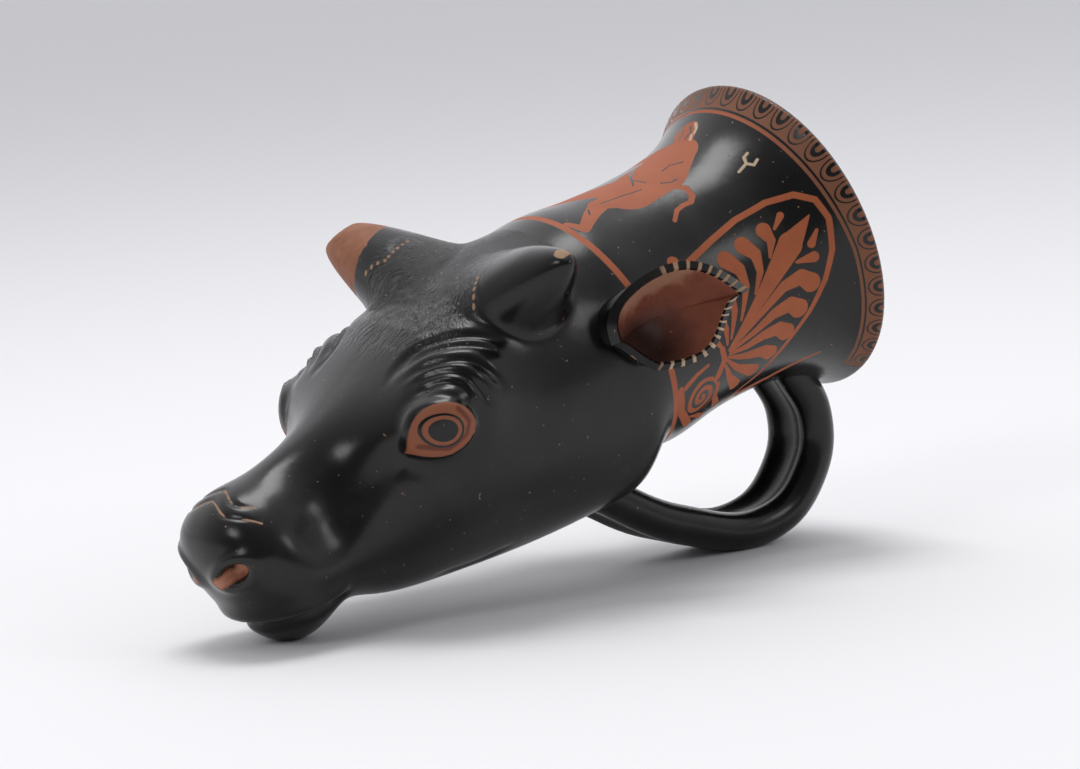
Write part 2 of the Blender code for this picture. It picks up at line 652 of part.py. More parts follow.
def resting_place(points):
    """The turn and the place that set the vessel down on its lower lip and its handle, in the middle."""
    lip = points[points[:, 0] < 0.5 * HEAD_LENGTH]
    loop = points[points[:, 0] >= 0.5 * HEAD_LENGTH]
    low = 0.0
    high = math.radians(60.0)
    for _ in range(50):
        turn = 0.5 * (low + high)
        upward = np.array([math.sin(turn), 0.0, math.cos(turn)])
        if (lip @ upward).min() > (loop @ upward).min():
            low = turn
        else:
            high = turn
    turned = points @ np.array(Matrix.Rotation(-turn, 3, "Y")).T
    middle = 0.5 * (turned.min(axis=0) + turned.max(axis=0))
    return -turn, Vector((-middle[0], -middle[1], -turned[:, 2].min() - WORN_DEPTH))


def table(collection):
    """A block whose top is the level on which the vessel stands."""
    size = 2.0 * (HEAD_LENGTH + CUP_LENGTH)
    bpy.ops.mesh.primitive_cube_add(size=size, location=(0.0, 0.0, -size / 2.0))
    block = bpy.context.object
    block.name = "table"
    for holder in list(block.users_collection):
        holder.objects.unlink(block)
    collection.objects.link(block)
    return block


def build():
    """Model the vessel and set it down."""
    for thing in list(bpy.data.objects):
        bpy.data.objects.remove(thing, do_unlink=True)
    vessel_collection = new_collection("rhyton")
    tools = new_collection("cutters")
    rhyton = ball_in_shape("rhyton", vessel_collection, vessel_shape())
    rhyton.data.materials.append(clay("black glaze", (0.012, 0.012, 0.011), 0.25))
    core = ball_in_shape("core", tools, core_shape())
    near_ear = ball_in_shape("near_ear", tools, ear_shape(-1.0))
    far_ear = ball_in_shape("far_ear", tools, ear_shape(1.0))
    hollows = [ball_in_shape("ear_hollow", tools, ear_hollow(side)) for side in (-1.0, 1.0)]
    strap = strap_handle(tools)
    stand = bpy.data.objects.new("as_it_lies", None)
    tools.objects.link(stand)
    for hollow in hollows:
        add_boolean(rhyton, "open the ear", "DIFFERENCE", hollow)
    for thing in (near_ear, far_ear, strap):
        add_boolean(thing, "keep the hollow free", "DIFFERENCE", core)
        add_boolean(rhyton, "join the " + thing.name, "UNION", thing)
    thin_out = rhyton.modifiers.new("thin out", "DECIMATE")
    thin_out.ratio = FACETS / (2.0 * len(rhyton.data.polygons))
    for thing in (rhyton, core, near_ear, far_ear, strap, *hollows):
        thing.parent = stand
    turn, place = resting_place(evaluated_points(rhyton))
    stand.rotation_euler = (0.0, turn, 0.0)
    stand.location = place
    block = table(tools)
    add_boolean(rhyton, "worn flat", "DIFFERENCE", block)
    for thing in (core, near_ear, far_ear, strap, block, *hollows):
        as_tool(thing)
    bpy.context.view_layer.update()


build()
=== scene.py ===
# %% [markdown]
# # A bull's-head rhyton
# A rhyton is a drinking vessel that ends in an animal's head. This one was pressed in a mould, joined to a thrown
# cup and a strap handle while the clay was soft, painted with black gloss and fired once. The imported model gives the
# frame: its one solid says where the vessel lies and how large it is. This script makes the fine surface and the
# paint, and it starts by noting the solid's box, so that the finished vessel can be compared with it at the end.

# %% The frame
import json
import math
from collections import namedtuple

import bpy
import numpy as np
from mathutils import Matrix, Vector

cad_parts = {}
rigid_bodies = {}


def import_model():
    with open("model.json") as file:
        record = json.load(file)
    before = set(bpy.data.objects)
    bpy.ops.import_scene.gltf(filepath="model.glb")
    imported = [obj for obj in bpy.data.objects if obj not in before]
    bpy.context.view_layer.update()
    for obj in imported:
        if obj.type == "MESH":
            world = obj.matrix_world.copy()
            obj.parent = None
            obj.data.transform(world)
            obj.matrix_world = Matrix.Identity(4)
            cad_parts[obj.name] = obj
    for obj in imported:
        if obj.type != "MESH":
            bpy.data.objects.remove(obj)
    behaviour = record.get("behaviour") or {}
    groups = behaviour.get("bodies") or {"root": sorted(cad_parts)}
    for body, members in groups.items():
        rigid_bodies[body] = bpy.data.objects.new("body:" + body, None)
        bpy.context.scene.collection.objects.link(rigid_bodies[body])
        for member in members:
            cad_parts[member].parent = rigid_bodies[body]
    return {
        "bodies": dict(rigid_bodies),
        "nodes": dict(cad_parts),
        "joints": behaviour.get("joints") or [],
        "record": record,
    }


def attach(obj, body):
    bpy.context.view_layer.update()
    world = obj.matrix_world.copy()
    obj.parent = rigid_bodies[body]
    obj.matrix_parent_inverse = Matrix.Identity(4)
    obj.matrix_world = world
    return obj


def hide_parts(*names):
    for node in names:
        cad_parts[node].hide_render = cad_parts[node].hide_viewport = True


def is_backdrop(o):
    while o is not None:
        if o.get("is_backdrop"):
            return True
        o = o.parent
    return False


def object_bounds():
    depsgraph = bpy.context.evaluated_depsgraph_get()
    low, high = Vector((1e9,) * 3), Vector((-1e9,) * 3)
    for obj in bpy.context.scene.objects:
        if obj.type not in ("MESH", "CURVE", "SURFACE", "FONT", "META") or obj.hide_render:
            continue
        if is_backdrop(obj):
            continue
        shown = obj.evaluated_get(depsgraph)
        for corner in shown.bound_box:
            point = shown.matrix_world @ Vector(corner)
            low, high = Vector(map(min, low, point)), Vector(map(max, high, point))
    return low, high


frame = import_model()
solid_box = [list(corner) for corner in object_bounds()]
bpy.ops.object.select_all(action="DESELECT")
print("the solid's box, in mm:", [[round(1000.0 * x, 1) for x in corner] for corner in solid_box])

# %% [markdown]
# ## The sizes
# The vessel is drawn level, in metres: the muzzle at x = 0, the rim at the other end, the crown up. The head is
# drawn in units of a 127th of its own length. They are the sizes of the solid, with a finer grid of points, because
# the black gloss shows every unevenness of the surface. At the end the vessel is tipped to lie as the solid does.

# %% Sizes of the vessel and of the carving
# The whole vessel, in metres.
HEAD_LENGTH = 0.127  # muzzle to the painted ring where the cup begins
CUP_LENGTH = 0.070  # painted ring to the rim
RING_RADIUS = 0.0360  # outside, at the painted ring
WAIST_RADIUS = 0.0335  # outside, at the narrowest place of the cup
WAIST_FROM_RIM = 0.040
RIM_RADIUS = 0.0440
RIM_FLARE = 3.0  # how late the cup opens towards its rim
CUP_WALL = 0.0042
HEAD_WALL = 0.0065
MUZZLE_WALL = 0.024  # solid clay between the muzzle's front and the hollow
HOLLOW_END = 0.016  # over which the hollow rounds off to its end

# The strap handle: a loop under the cup, with a rounded roll along each edge.
STRAP_WIDTH = 0.0225
STRAP_EDGE = 0.0106  # thickness of the rolls
STRAP_WEB = 0.0062  # thickness of the strap between the rolls
STRAP_ROOT_FROM_RIM = 0.0130
STRAP_THROAT_FROM_RIM = 0.0880
STRAP_DROP = 0.0318  # the strap's middle, below the underside of the cup

# The ears: leaf-shaped bowls that open sideways.
EAR_LENGTH = 0.0338
EAR_WIDTH = 0.0234
EAR_DEPTH = 0.0100
EAR_WALL = 0.0036

# The head's form is drawn in units, 127 of them from the muzzle to the ring.
HEAD_UNITS = 127.0
UNIT = HEAD_LENGTH / HEAD_UNITS

# The head's cross-sections, from the muzzle to the ring: the place, the half width, the heights of the top, the
# bottom and the widest line, the squareness, and how far the section narrows towards its top and its bottom.
Section = namedtuple("Section", "place half_width top bottom widest squareness narrow_top narrow_bottom")
SECTIONS = (
    Section(0.0, 0.0, 8.0, 8.0, 8.0, 2.2, 0.00, 0.00),  # front of the muzzle
    Section(1.2, 8.5, 14.6, 0.5, 8.0, 2.2, 0.00, 0.00),
    Section(4.2, 14.5, 18.8, -8.5, 6.5, 2.3, 0.05, 0.20),
    Section(8.5, 18.5, 21.2, -16.5, 4.0, 2.3, 0.10, 0.42),  # nostrils
    Section(15.0, 21.0, 22.4, -21.4, 1.0, 2.3, 0.20, 0.46),  # lower lip
    Section(21.5, 20.8, 22.2, -21.4, -1.0, 2.3, 0.28, 0.36),
    Section(28.5, 19.5, 22.6, -18.6, -3.0, 2.3, 0.32, 0.22),  # behind the mouth
    Section(39.0, 21.0, 24.2, -21.8, -2.0, 2.3, 0.30, 0.22),
    Section(51.0, 28.5, 27.5, -26.2, 4.0, 2.3, 0.20, 0.30),  # eyes
    Section(65.0, 33.5, 33.0, -29.6, 8.0, 2.3, 0.14, 0.32),  # brows
    Section(81.0, 33.5, 38.6, -33.0, 8.0, 2.3, 0.10, 0.26),
    Section(99.0, 34.0, 41.6, -35.8, 6.0, 2.2, 0.06, 0.14),  # crown, between the horns
    Section(114.0, 35.2, 41.0, -37.4, 4.5, 2.1, 0.02, 0.06),  # throat
    Section(121.5, 36.0, 40.4, -36.4, 4.5, 2.0, 0.00, 0.02),
)
RING_RISE = 4.2  # the ring's centre stands this much above the cup's axis
CUP_NOD = 4.0  # degrees, the cup turned down from the line of the head
NOD_LENGTH = 16.0  # over which the turn is spread
CUP_SHARES = (0.0, 0.15, 0.35, 0.55, 0.7, 0.8, 0.88, 0.94, 1.0)  # of the cup's length, where its sections stand
PAINT_OVERLAP = 0.008  # how far the cup's paint reaches over the ring, in metres

# Everything else on the head: its place (from the muzzle, out to the side, up) and its size, in the same units.
BROW_PLACE = (66.0, 29.0, 26.0)
BROW_REACH = (20.0, 14.0, 14.0)
BROW_OUTWARD = (-0.12, 0.94, 0.32)
BROW_RISE = 9.0
EYE_PLACE = (58.2, 36.0, 18.4)  # middle of the eyeball
EYE_CORNERS = (59.0, 36.0, 14.7)  # middle of the line between the eye's two corners
EYE_HALF_LENGTH = 8.2
EYE_ABOVE = 10.3  # the upper lid's height over that line
EYE_BELOW = 3.2
EYE_TURN = math.radians(3.5)  # the front corner up
EYE_FORWARD = (math.cos(EYE_TURN), 0.0, -math.sin(EYE_TURN))  # along the line of its corners
EYE_UPWARD = (math.sin(EYE_TURN), 0.0, math.cos(EYE_TURN))
EYE_BALL_REACH = 9.5
EYE_DEPTH_REACH = (12.0, 6.0)  # how far in from the eyeball its carving reaches, and how softly it ends
EYE_RISE = 2.2
LID_RISE = 0.9
LID_WIDTH = 0.14  # of the eye's size
SOCKET_DEPTH = 1.0
# The folds of skin that arch over the eye, as lines from front to back.
FOLD_LINES = (
    ((56.8, 17.7, 28.6), (61.6, 16.9, 31.0), (69.5, 17.6, 33.3), (75.5, 22.0, 33.8), (82.0, 27.8, 32.6),
     (87.1, 33.3, 26.8)),
    ((60.0, 18.6, 30.3), (69.2, 20.8, 33.3), (75.4, 26.3, 32.4), (81.0, 30.8, 30.0), (84.0, 34.5, 24.5)),
    ((58.5, 21.5, 29.0), (65.6, 24.5, 31.0), (70.8, 29.5, 31.2), (75.2, 33.2, 29.0), (77.8, 35.6, 23.8),
     (79.9, 36.0, 17.3)),
    ((57.5, 24.2, 27.8), (63.7, 27.6, 30.2), (67.7, 31.6, 29.8), (70.4, 35.0, 27.6), (72.2, 36.8, 22.5),
     (73.9, 36.4, 14.5)),
    ((57.5, 26.8, 26.6), (62.3, 29.8, 28.6), (66.0, 33.8, 28.0), (68.4, 36.2, 25.2), (69.4, 36.8, 21.0)),
)
FOLD_DEPTH = 1.3
FOLD_WIDTH = 1.2
GROOVE_STEPS = 17  # stretches and points of a groove's line
GROOVE_FADE = 0.3  # of its length, over which a groove's ends fade
GROOVE_GRIP = 0.9  # how little a line's height over the surface counts
BRIDGE_VALLEY = ((23.0, 18.0, 5.5), (47.0, 23.5, 13.0))  # from the muzzle's side to the eye's front corner
VALLEY_DEPTH = 1.4
VALLEY_REACH = 6.0
HORN_ROOT = (100.0, 24.0, 36.0)
HORN_TIP = (103.0, 50.0, 45.0)
HORN_REACH = 13.5
HORN_FULLNESS = 1.5  # how much the horn swells before it rounds over to its tip
HORN_BLUNTNESS = 0.1  # of its reach, the width of its tip
HORN_ROOT_SOFTNESS = 0.2  # of its height, how softly it leaves the crown
HORN_DEPTH_REACH = (16.0, 8.0)  # how far in from the root the horn's carving reaches, and how softly it ends
HORN_SIDE_REACH = (2.0, 0.7)  # the same to the side, in reaches
BROKEN_HORN_TIP = (99.0, 50.5, 48.0)
BROKEN_BLUNTNESS = 0.36
NOSTRIL_PLACE = (3.4, 10.6, 6.4)
NOSTRIL_ALONG = (0.5, 0.8, 0.28)
NOSTRIL_HALF_LENGTH = 4.6
NOSTRIL_HALF_HEIGHT = 2.5
NOSTRIL_DEPTH = 2.8
NOSTRIL_RIM = 0.9
MOUTH_FRONT_HEIGHT = -11.3
MOUTH_CORNER = (26.0, -13.2)
MOUTH_DEPTH = 2.6
MOUTH_WIDTH = 1.5
UPPER_LIP_RISE = 1.0
CHEEK_PLACE = (88.0, 33.0, -4.0)
CHEEK_REACH = (22.0, 14.0, 17.0)
CHEEK_RISE = 1.5

# The ears' places, and the way they point and open, also for the near side (out to the side is positive).
EAR_MIDDLE = (129.5, 45.0, 12.5)
EAR_ALONG = (0.92, 0.38, -0.05)
EAR_OPENING = (-0.36, 0.92, 0.10)
EAR_ROOT_SPREAD = 9.0  # how far the ear's back spreads onto the head
EAR_BEND = 0.05  # of its length, how far the ear's ends bend outward
EAR_CUT = 0.17  # of its wall, how deep the space in its bowl is cut into it
EAR_LID = 1.1  # of the bowl's size, that of the space at its lid

# The loop's shape between the cup and the throat: shares of the way between them and of the strap's drop.
LOOP_SHAPE = ((-0.03, 0.42), (0.085, 0.83), (0.33, 1.00), (0.70, 0.54))

LYING_TURN = -20.5989  # degrees about Y, from level to lying on the lower lip and the handle
LYING_PLACE = (-0.096247, 0.0, 0.014321)

# The grids of points.
AROUND = 256
OUTER_RINGS = 290
LIP_RINGS = 9
INNER_RINGS = 44
EAR_STEPS = 96
EAR_LEVELS = 28
EDGE_LEVELS = (22, 28)  # the rings of an ear's faces that carry its fringe
print("length", HEAD_LENGTH + CUP_LENGTH, "m, rim", 2.0 * RIM_RADIUS, "m across")

# %% [markdown]
# ## Curves and cross-sections
# A modeller in clay thinks in profiles. The vessel is described by cross-sections at a few places, and a smooth
# spline runs through them. A subdivision surface on a cage could do this too, but a spline through named sections
# keeps each size where it was measured. The same functions draw the outside and, set in by the wall, the hollow.

# %% Smooth curves through the sections
def smooth_step(value):
    """0 below 0, 1 above 1, and a smooth rise between."""
    value = np.clip(value, 0.0, 1.0)
    return value * value * (3.0 - 2.0 * value)


def bell(distance):
    """1 at 0, and a smooth fall to almost nothing at 2."""
    return np.exp(-distance * distance)


def unit_vector(vector):
    """The vector at length 1."""
    vector = np.array(vector, dtype=float)
    return vector / np.linalg.norm(vector)


def reach_from(points, place, reach):
    """Distance from a place, where 1 is the reach along each axis."""
    return np.sqrt((((points - np.array(place)) / np.array(reach)) ** 2).sum(axis=2))


def smooth_curve(knots, values, places):
    """A curve without a kink (a natural cubic spline) through the values at the knots, read at the places."""
    knots = np.asarray(knots, dtype=float)
    values = np.asarray(values, dtype=float)
    gaps = np.diff(knots)
    slopes = np.diff(values, axis=0) / gaps[:, None]
    bends = np.zeros_like(values)
    system = np.diag(2.0 * (gaps[:-1] + gaps[1:])) + np.diag(gaps[1:-1], 1) + np.diag(gaps[1:-1], -1)
    bends[1:-1] = np.linalg.solve(system, 6.0 * np.diff(slopes, axis=0))
    index = np.clip(np.searchsorted(knots, places) - 1, 0, len(gaps) - 1)
    gap = gaps[index][:, None]
    after = (places - knots[index])[:, None]
    before = gap - after
    start = values[index] / gap - bends[index] * gap / 6.0
    end = values[index + 1] / gap - bends[index + 1] * gap / 6.0
    curved = (bends[index] * before**3 + bends[index + 1] * after**3) / (6.0 * gap)
    return curved + start * before + end * after

# %% The cross-sections
def cup_radius(place):
    """The cup's outer radius at a place along the vessel, in metres."""
    waist = HEAD_LENGTH + CUP_LENGTH - WAIST_FROM_RIM
    if place < waist:
        return WAIST_RADIUS + (RING_RADIUS - WAIST_RADIUS) * ((waist - place) / (waist - HEAD_LENGTH)) ** 1.5
    return WAIST_RADIUS + (RIM_RADIUS - WAIST_RADIUS) * ((place - waist) / WAIST_FROM_RIM) ** RIM_FLARE


def cup_sections():
    """The cup's cross-sections, all round, from the ring to the rim, in metres."""
    sections = []
    for share in CUP_SHARES:
        place = HEAD_LENGTH + share * CUP_LENGTH
        centre = RING_RISE * UNIT
        radius = cup_radius(place)
        sections.append((place, radius, centre + radius, centre - radius, centre, 2.0, 0.0, 0.0))
    return sections


def section_knots():
    """All cross-sections in metres, with the length of the profile at which each one stands."""
    sizes_in_metres = np.array([UNIT] * 5 + [1.0] * 3)
    rows = np.array([np.array(section) * sizes_in_metres for section in SECTIONS] + cup_sections())
    steps = np.hypot(np.diff(rows[:, 0]), np.diff(rows[:, 1]))
    knots = np.concatenate([[0.0], np.cumsum(steps)])
    # The muzzle is round, so the sections go on past its front as their own mirror images.
    mirrored = rows[3:0:-1].copy()
    mirrored[:, 1] *= -1.0
    mirrored[:, 2:4] = 2.0 * mirrored[:, 4:5] - mirrored[:, 2:4]
    return np.concatenate([-knots[3:0:-1], knots]), np.concatenate([mirrored, rows])


KNOTS, KNOT_SECTIONS = section_knots()


def sections_along(lengths):
    """Cross-sections read at lengths along the profile."""
    return smooth_curve(KNOTS, KNOT_SECTIONS, np.asarray(lengths, dtype=float))


def sections_at(places):
    """Cross-sections read at places along the vessel."""
    lengths = np.linspace(0.0, KNOTS[-1], 2000)
    return sections_along(np.interp(places, sections_along(lengths)[:, 0], lengths))


def ring_of(sections, around, inset, scale=1.0):
    """Points round each section, set in by the inset and drawn in by the scale."""
    _, half_width, top, bottom, widest, squareness, narrow_top, narrow_bottom = sections.T[:, :, None]
    sine = np.sin(around)[None, :]
    cosine = np.cos(around)[None, :]
    sideways = np.maximum((half_width - inset) * scale, 1e-9)
    upright = np.maximum((np.where(cosine > 0.0, top - widest, widest - bottom) - inset) * scale, 1e-9)
    radius = (np.abs(sine) / sideways) ** squareness + (np.abs(cosine) / upright) ** squareness
    radius = radius ** (-1.0 / squareness)
    height = radius * cosine
    lift = height / upright
    narrow = 1.0 - narrow_top * np.maximum(lift, 0.0) ** 2 - narrow_bottom * np.maximum(-lift, 0.0) ** 2
    return radius * sine * narrow, widest + height


def nod(points):
    """Turn the cup's points down from the line of the head, about the middle of the ring."""
    pivot = np.array([HEAD_LENGTH, 0.0, RING_RISE * UNIT])
    offset = points - pivot
    turn = math.radians(CUP_NOD) * smooth_step(0.5 + offset[..., 0] / (NOD_LENGTH * UNIT))
    turned = points.copy()
    turned[..., 0] = pivot[0] + offset[..., 0] * np.cos(turn) + offset[..., 2] * np.sin(turn)
    turned[..., 2] = pivot[2] - offset[..., 0] * np.sin(turn) + offset[..., 2] * np.cos(turn)
    return turned


def surface_normals(points):
    """Outward directions on a grid of points (rings along, points around)."""
    along = np.gradient(points, axis=0)
    around = np.roll(points, -1, axis=1) - np.roll(points, 1, axis=1)
    normals = np.cross(along, around)
    normals[0] = normals[1].mean(axis=0)
    lengths = np.linalg.norm(normals, axis=2, keepdims=True)
    return normals / np.maximum(lengths, 1e-12)


print(len(KNOTS), "sections")

# %% [markdown]
# ## The face
# On the real vessel the face came out of a mould and was sharpened with a tool. Sculpting by hand would be the usual
# way in Blender. Here each feature is a small function that moves the surface along its normal, so that every brow
# and lid has a place and a size that can be changed. The bell and the smooth step are the brush shapes.

# %% Brows, eyes, folds, horns, nostrils and mouth
def brow(points):
    """The swelling over the eye."""
    rise = BROW_RISE * bell(reach_from(points, BROW_PLACE, BROW_REACH))
    return points + rise[:, :, None] * unit_vector(BROW_OUTWARD)


def cheek(points, normals):
    """The jaw muscle behind the mouth."""
    return points + (CHEEK_RISE * bell(reach_from(points, CHEEK_PLACE, CHEEK_REACH)))[:, :, None] * normals


def bridge_valley(points, normals):
    """The hollow along each side of the nose, from the muzzle to the eye."""
    start, end = (np.array(place) for place in BRIDGE_VALLEY)
    share = np.clip(((points - start) @ (end - start)) / ((end - start) @ (end - start)), 0.0, 1.0)
    nearest = start + share[:, :, None] * (end - start)
    distance = np.linalg.norm(points - nearest, axis=2) / VALLEY_REACH
    return points - (VALLEY_DEPTH * bell(distance))[:, :, None] * normals


def eye_opening(points):
    """The eye's almond shape: 0 at the middle of its line of corners and 1 along the lids. Also the place along it."""
    offset = points - np.array(EYE_CORNERS)
    along = (offset @ np.array(EYE_FORWARD)) / EYE_HALF_LENGTH
    height = offset @ np.array(EYE_UPWARD)
    return along**2 + np.where(height > 0.0, (height / EYE_ABOVE) ** 2, -height / EYE_BELOW), along


def eye(points, normals):
    """The eyeball in its socket, between lids that meet in two corners."""
    opening, along = eye_opening(points)
    offset = points - np.array(EYE_PLACE)
    reach, fade = EYE_DEPTH_REACH
    near = smooth_step((reach - np.abs(offset[:, :, 1])) / fade)
    size = np.hypot(offset[:, :, 0], offset[:, :, 2]) / EYE_BALL_REACH
    socket = -SOCKET_DEPTH * bell((size - 1.1) / 0.35)
    ball = EYE_RISE * np.sqrt(np.clip(1.0 - size**2, 0.0, 1.0)) * smooth_step((1.08 - opening) / 0.2)
    lids = LID_RISE * bell((opening - 1.08) / LID_WIDTH) * smooth_step((1.4 - np.abs(along)) / 0.4)
    rise = (socket + ball + lids) * near
    return points + rise[:, :, None] * normals


def groove(points, normals, line, depth, width):
    """A smooth line pressed into the surface, which fades at both ends."""
    line = np.array(line)
    knots = np.concatenate([[0.0], np.cumsum(np.linalg.norm(np.diff(line, axis=0), axis=1))])
    shares = np.linspace(0.0, 1.0, GROOVE_STEPS)
    smooth = smooth_curve(knots, line, shares * knots[-1])
    nearest = np.full(points.shape[:2], np.inf)
    share = np.zeros(points.shape[:2])
    for index, start in enumerate(smooth[:-1]):
        along = smooth[index + 1] - start
        part = np.clip(((points - start) @ along) / (along @ along), 0.0, 1.0)
        offset = points - start - part[:, :, None] * along
        height = (offset * normals).sum(axis=2)
        distance = np.sqrt(np.maximum((offset**2).sum(axis=2) - GROOVE_GRIP * height**2, 0.0))
        closer = distance < nearest
        nearest = np.where(closer, distance, nearest)
        share = np.where(closer, shares[index] + part * shares[1], share)
    fade = smooth_step(share / GROOVE_FADE) * smooth_step((1.0 - share) / GROOVE_FADE)
    return points - (depth * fade * bell(nearest / width))[:, :, None] * normals


def brow_folds(points, normals):
    """Folds of skin that arch over the eye."""
    for line in FOLD_LINES:
        points = groove(points, normals, line, FOLD_DEPTH, FOLD_WIDTH)
    return points


def horn(points, tip, bluntness):
    """A horn drawn out of the crown, round or blunt at its end."""
    root = np.array(HORN_ROOT)
    axis = np.array(tip) - root
    length = np.linalg.norm(axis)
    axis = axis / length
    offset = points - root
    height = offset @ axis
    distance = np.linalg.norm(offset - height[:, :, None] * axis, axis=2) / HORN_REACH
    distance = np.maximum(distance - bluntness, 0.0) / (1.0 - bluntness)
    swell = 1.0 - distance**HORN_FULLNESS
    swell = 0.5 * (swell + np.hypot(swell, HORN_ROOT_SOFTNESS))
    depth_reach, depth_fade = HORN_DEPTH_REACH
    side_reach, side_fade = HORN_SIDE_REACH
    facing = smooth_step((height + depth_reach) / depth_fade) * smooth_step((side_reach - distance) / side_fade)
    return points + (length * swell * facing)[:, :, None] * axis


def nostril(points, normals):
    """A slanting oval pit with a raised rim."""
    middle = np.array(NOSTRIL_PLACE)
    long_way = unit_vector(NOSTRIL_ALONG)
    outward = unit_vector(normals[np.unravel_index(reach_from(points, middle, (1, 1, 1)).argmin(), points.shape[:2])])
    short_way = np.cross(outward, long_way)
    offset = points - middle
    along = (offset @ long_way) / NOSTRIL_HALF_LENGTH
    across = (offset @ short_way) / NOSTRIL_HALF_HEIGHT
    size = np.sqrt(along**2 + across**2)
    pit = -NOSTRIL_DEPTH * smooth_step((1.15 - size) / 0.6)
    rim = NOSTRIL_RIM * bell((size - 1.5) / 0.55)
    return points + (pit + rim)[:, :, None] * normals


def mouth(points, normals):
    """The line between the lips, from one corner round the front to the other."""
    corner, corner_height = MOUTH_CORNER
    share = points[:, :, 0] / corner
    line = MOUTH_FRONT_HEIGHT + (corner_height - MOUTH_FRONT_HEIGHT) * share
    fade = smooth_step((1.12 - share) / 0.22)
    height = points[:, :, 2] - line
    groove = -MOUTH_DEPTH * bell(height / MOUTH_WIDTH)
    lip = UPPER_LIP_RISE * bell((height - 3.2) / 2.2)
    return points + ((groove + lip) * fade)[:, :, None] * normals

# %% Finer tooling, which only the close view shows
# Lines pressed with a tool into the soft clay, in the head's units. Y is the distance from the middle.
NOSE_LINES = (
    ((12.6, -5.0, 21.6), (14.6, 0.0, 22.3), (11.7, 6.6, 21.1), (13.2, 10.6, 19.2), (14.6, 11.8, 18.5)),
    ((8.6, -5.5, 20.6), (10.4, 0.0, 21.4), (7.8, 7.5, 19.7), (9.7, 11.7, 18.2), (12.9, 15.3, 15.4)),
)
TOOLED_LINES = (
    # the line's points, its depth and its width
    (NOSE_LINES[0], 0.45, 0.6),
    (NOSE_LINES[1], 0.45, 0.6),
    (((53.0, 30.5, 15.4), (50.5, 27.3, 14.4), (48.7, 26.1, 11.8), (47.0, 24.5, 9.0)), 0.4, 0.9),  # at the eye's corner
    (((52.0, 12.2, -22.5), (67.6, 11.1, -27.3), (78.1, 15.8, -26.9)), 0.7, 1.8),  # under the jaw
)


def tooled_lines(points, normals):
    """The lines that the modeller pressed in with a tool."""
    for line, depth, width in TOOLED_LINES:
        points = groove(points, normals, line, depth, width)
    return points


def carve_head(points):
    """The head's carving, on both sides, on a grid of points in metres."""
    side = np.where(points[:, :, 1:2] < 0.0, -1.0, 1.0)
    mirror = np.concatenate([np.ones_like(side), side, np.ones_like(side)], axis=2)
    form = points / UNIT * mirror
    for carve in (cheek, bridge_valley):
        form = carve(form, surface_normals(form * mirror) * mirror)
    form = brow(form)
    for carve in (eye, brow_folds, mouth, nostril, tooled_lines):
        form = carve(form, surface_normals(form * mirror) * mirror)
    whole = horn(form, HORN_TIP, HORN_BLUNTNESS)
    broken = horn(form, BROKEN_HORN_TIP, BROKEN_BLUNTNESS)
    return np.where(side < 0.0, whole, broken) * mirror * UNIT


# %% The outside, the lip and the hollow
def outer_surface(rings, around):
    """The outside, from the front of the muzzle to the start of the lip."""
    length = KNOTS[-1]
    sections = sections_along(np.linspace(0.0, length, rings))
    last = HEAD_LENGTH + CUP_LENGTH - CUP_WALL / 2.0
    sections[:, 0] *= last / sections[-1, 0]
    y, z = ring_of(sections, around, 0.0)
    x = np.repeat(sections[:, :1], len(around), axis=1)
    return nod(carve_head(np.stack([x, y, z], axis=2)))


def lip_surface(rings, around):
    """The rounded edge of the mouth, from outside to inside."""
    turn = np.linspace(0.0, math.pi, rings + 2)[1:-1, None]
    sections = np.repeat(sections_along([KNOTS[-1]]), rings, axis=0)
    y, z = ring_of(sections, around, CUP_WALL / 2.0 * (1.0 - np.cos(turn)))
    x = HEAD_LENGTH + CUP_LENGTH - CUP_WALL / 2.0 * (1.0 - np.sin(turn))
    return nod(np.stack([np.repeat(x, len(around), axis=1), y, z], axis=2))


def inner_surface(rings, around, grown=0.0):
    """The hollow, from the lip to its rounded end in the muzzle, grown into the wall if asked."""
    mouth_end = HEAD_LENGTH + CUP_LENGTH - CUP_WALL / 2.0
    dome = HOLLOW_END
    dome_rings = rings // 5
    straight = np.linspace(mouth_end, MUZZLE_WALL + dome, rings - dome_rings, endpoint=False)
    turn = np.linspace(0.0, math.pi / 2.0, dome_rings)
    places = np.concatenate([straight, MUZZLE_WALL + dome * (1.0 - np.sin(turn))])
    scale = np.concatenate([np.ones(len(straight)), np.cos(turn)])
    wall = CUP_WALL + (HEAD_WALL - CUP_WALL) * smooth_step((HEAD_LENGTH + 0.01 - places) / 0.03)
    y, z = ring_of(sections_at(places), around, wall[:, None] - grown, scale[:, None])
    x = np.repeat(places[:, None], len(around), axis=1)
    return nod(np.stack([x, y, z], axis=2))

# %% [markdown]
# ## The vessel's wall
# A UV sphere has rings from pole to pole, just as a hollow vessel has when its skin is followed from the muzzle over
# the lip to the bottom of the hollow. So a sphere is added, and each of its rings is moved to a ring of the vessel.
# The faces, poles and all, are already there, closed and facing out.

# %% A sphere becomes the vessel
FINISHES = 5  # slots that every part of the vessel shares
SKIN, CUP_PAINT, INSIDE, EAR_BOWL, EAR_EDGE = range(FINISHES)


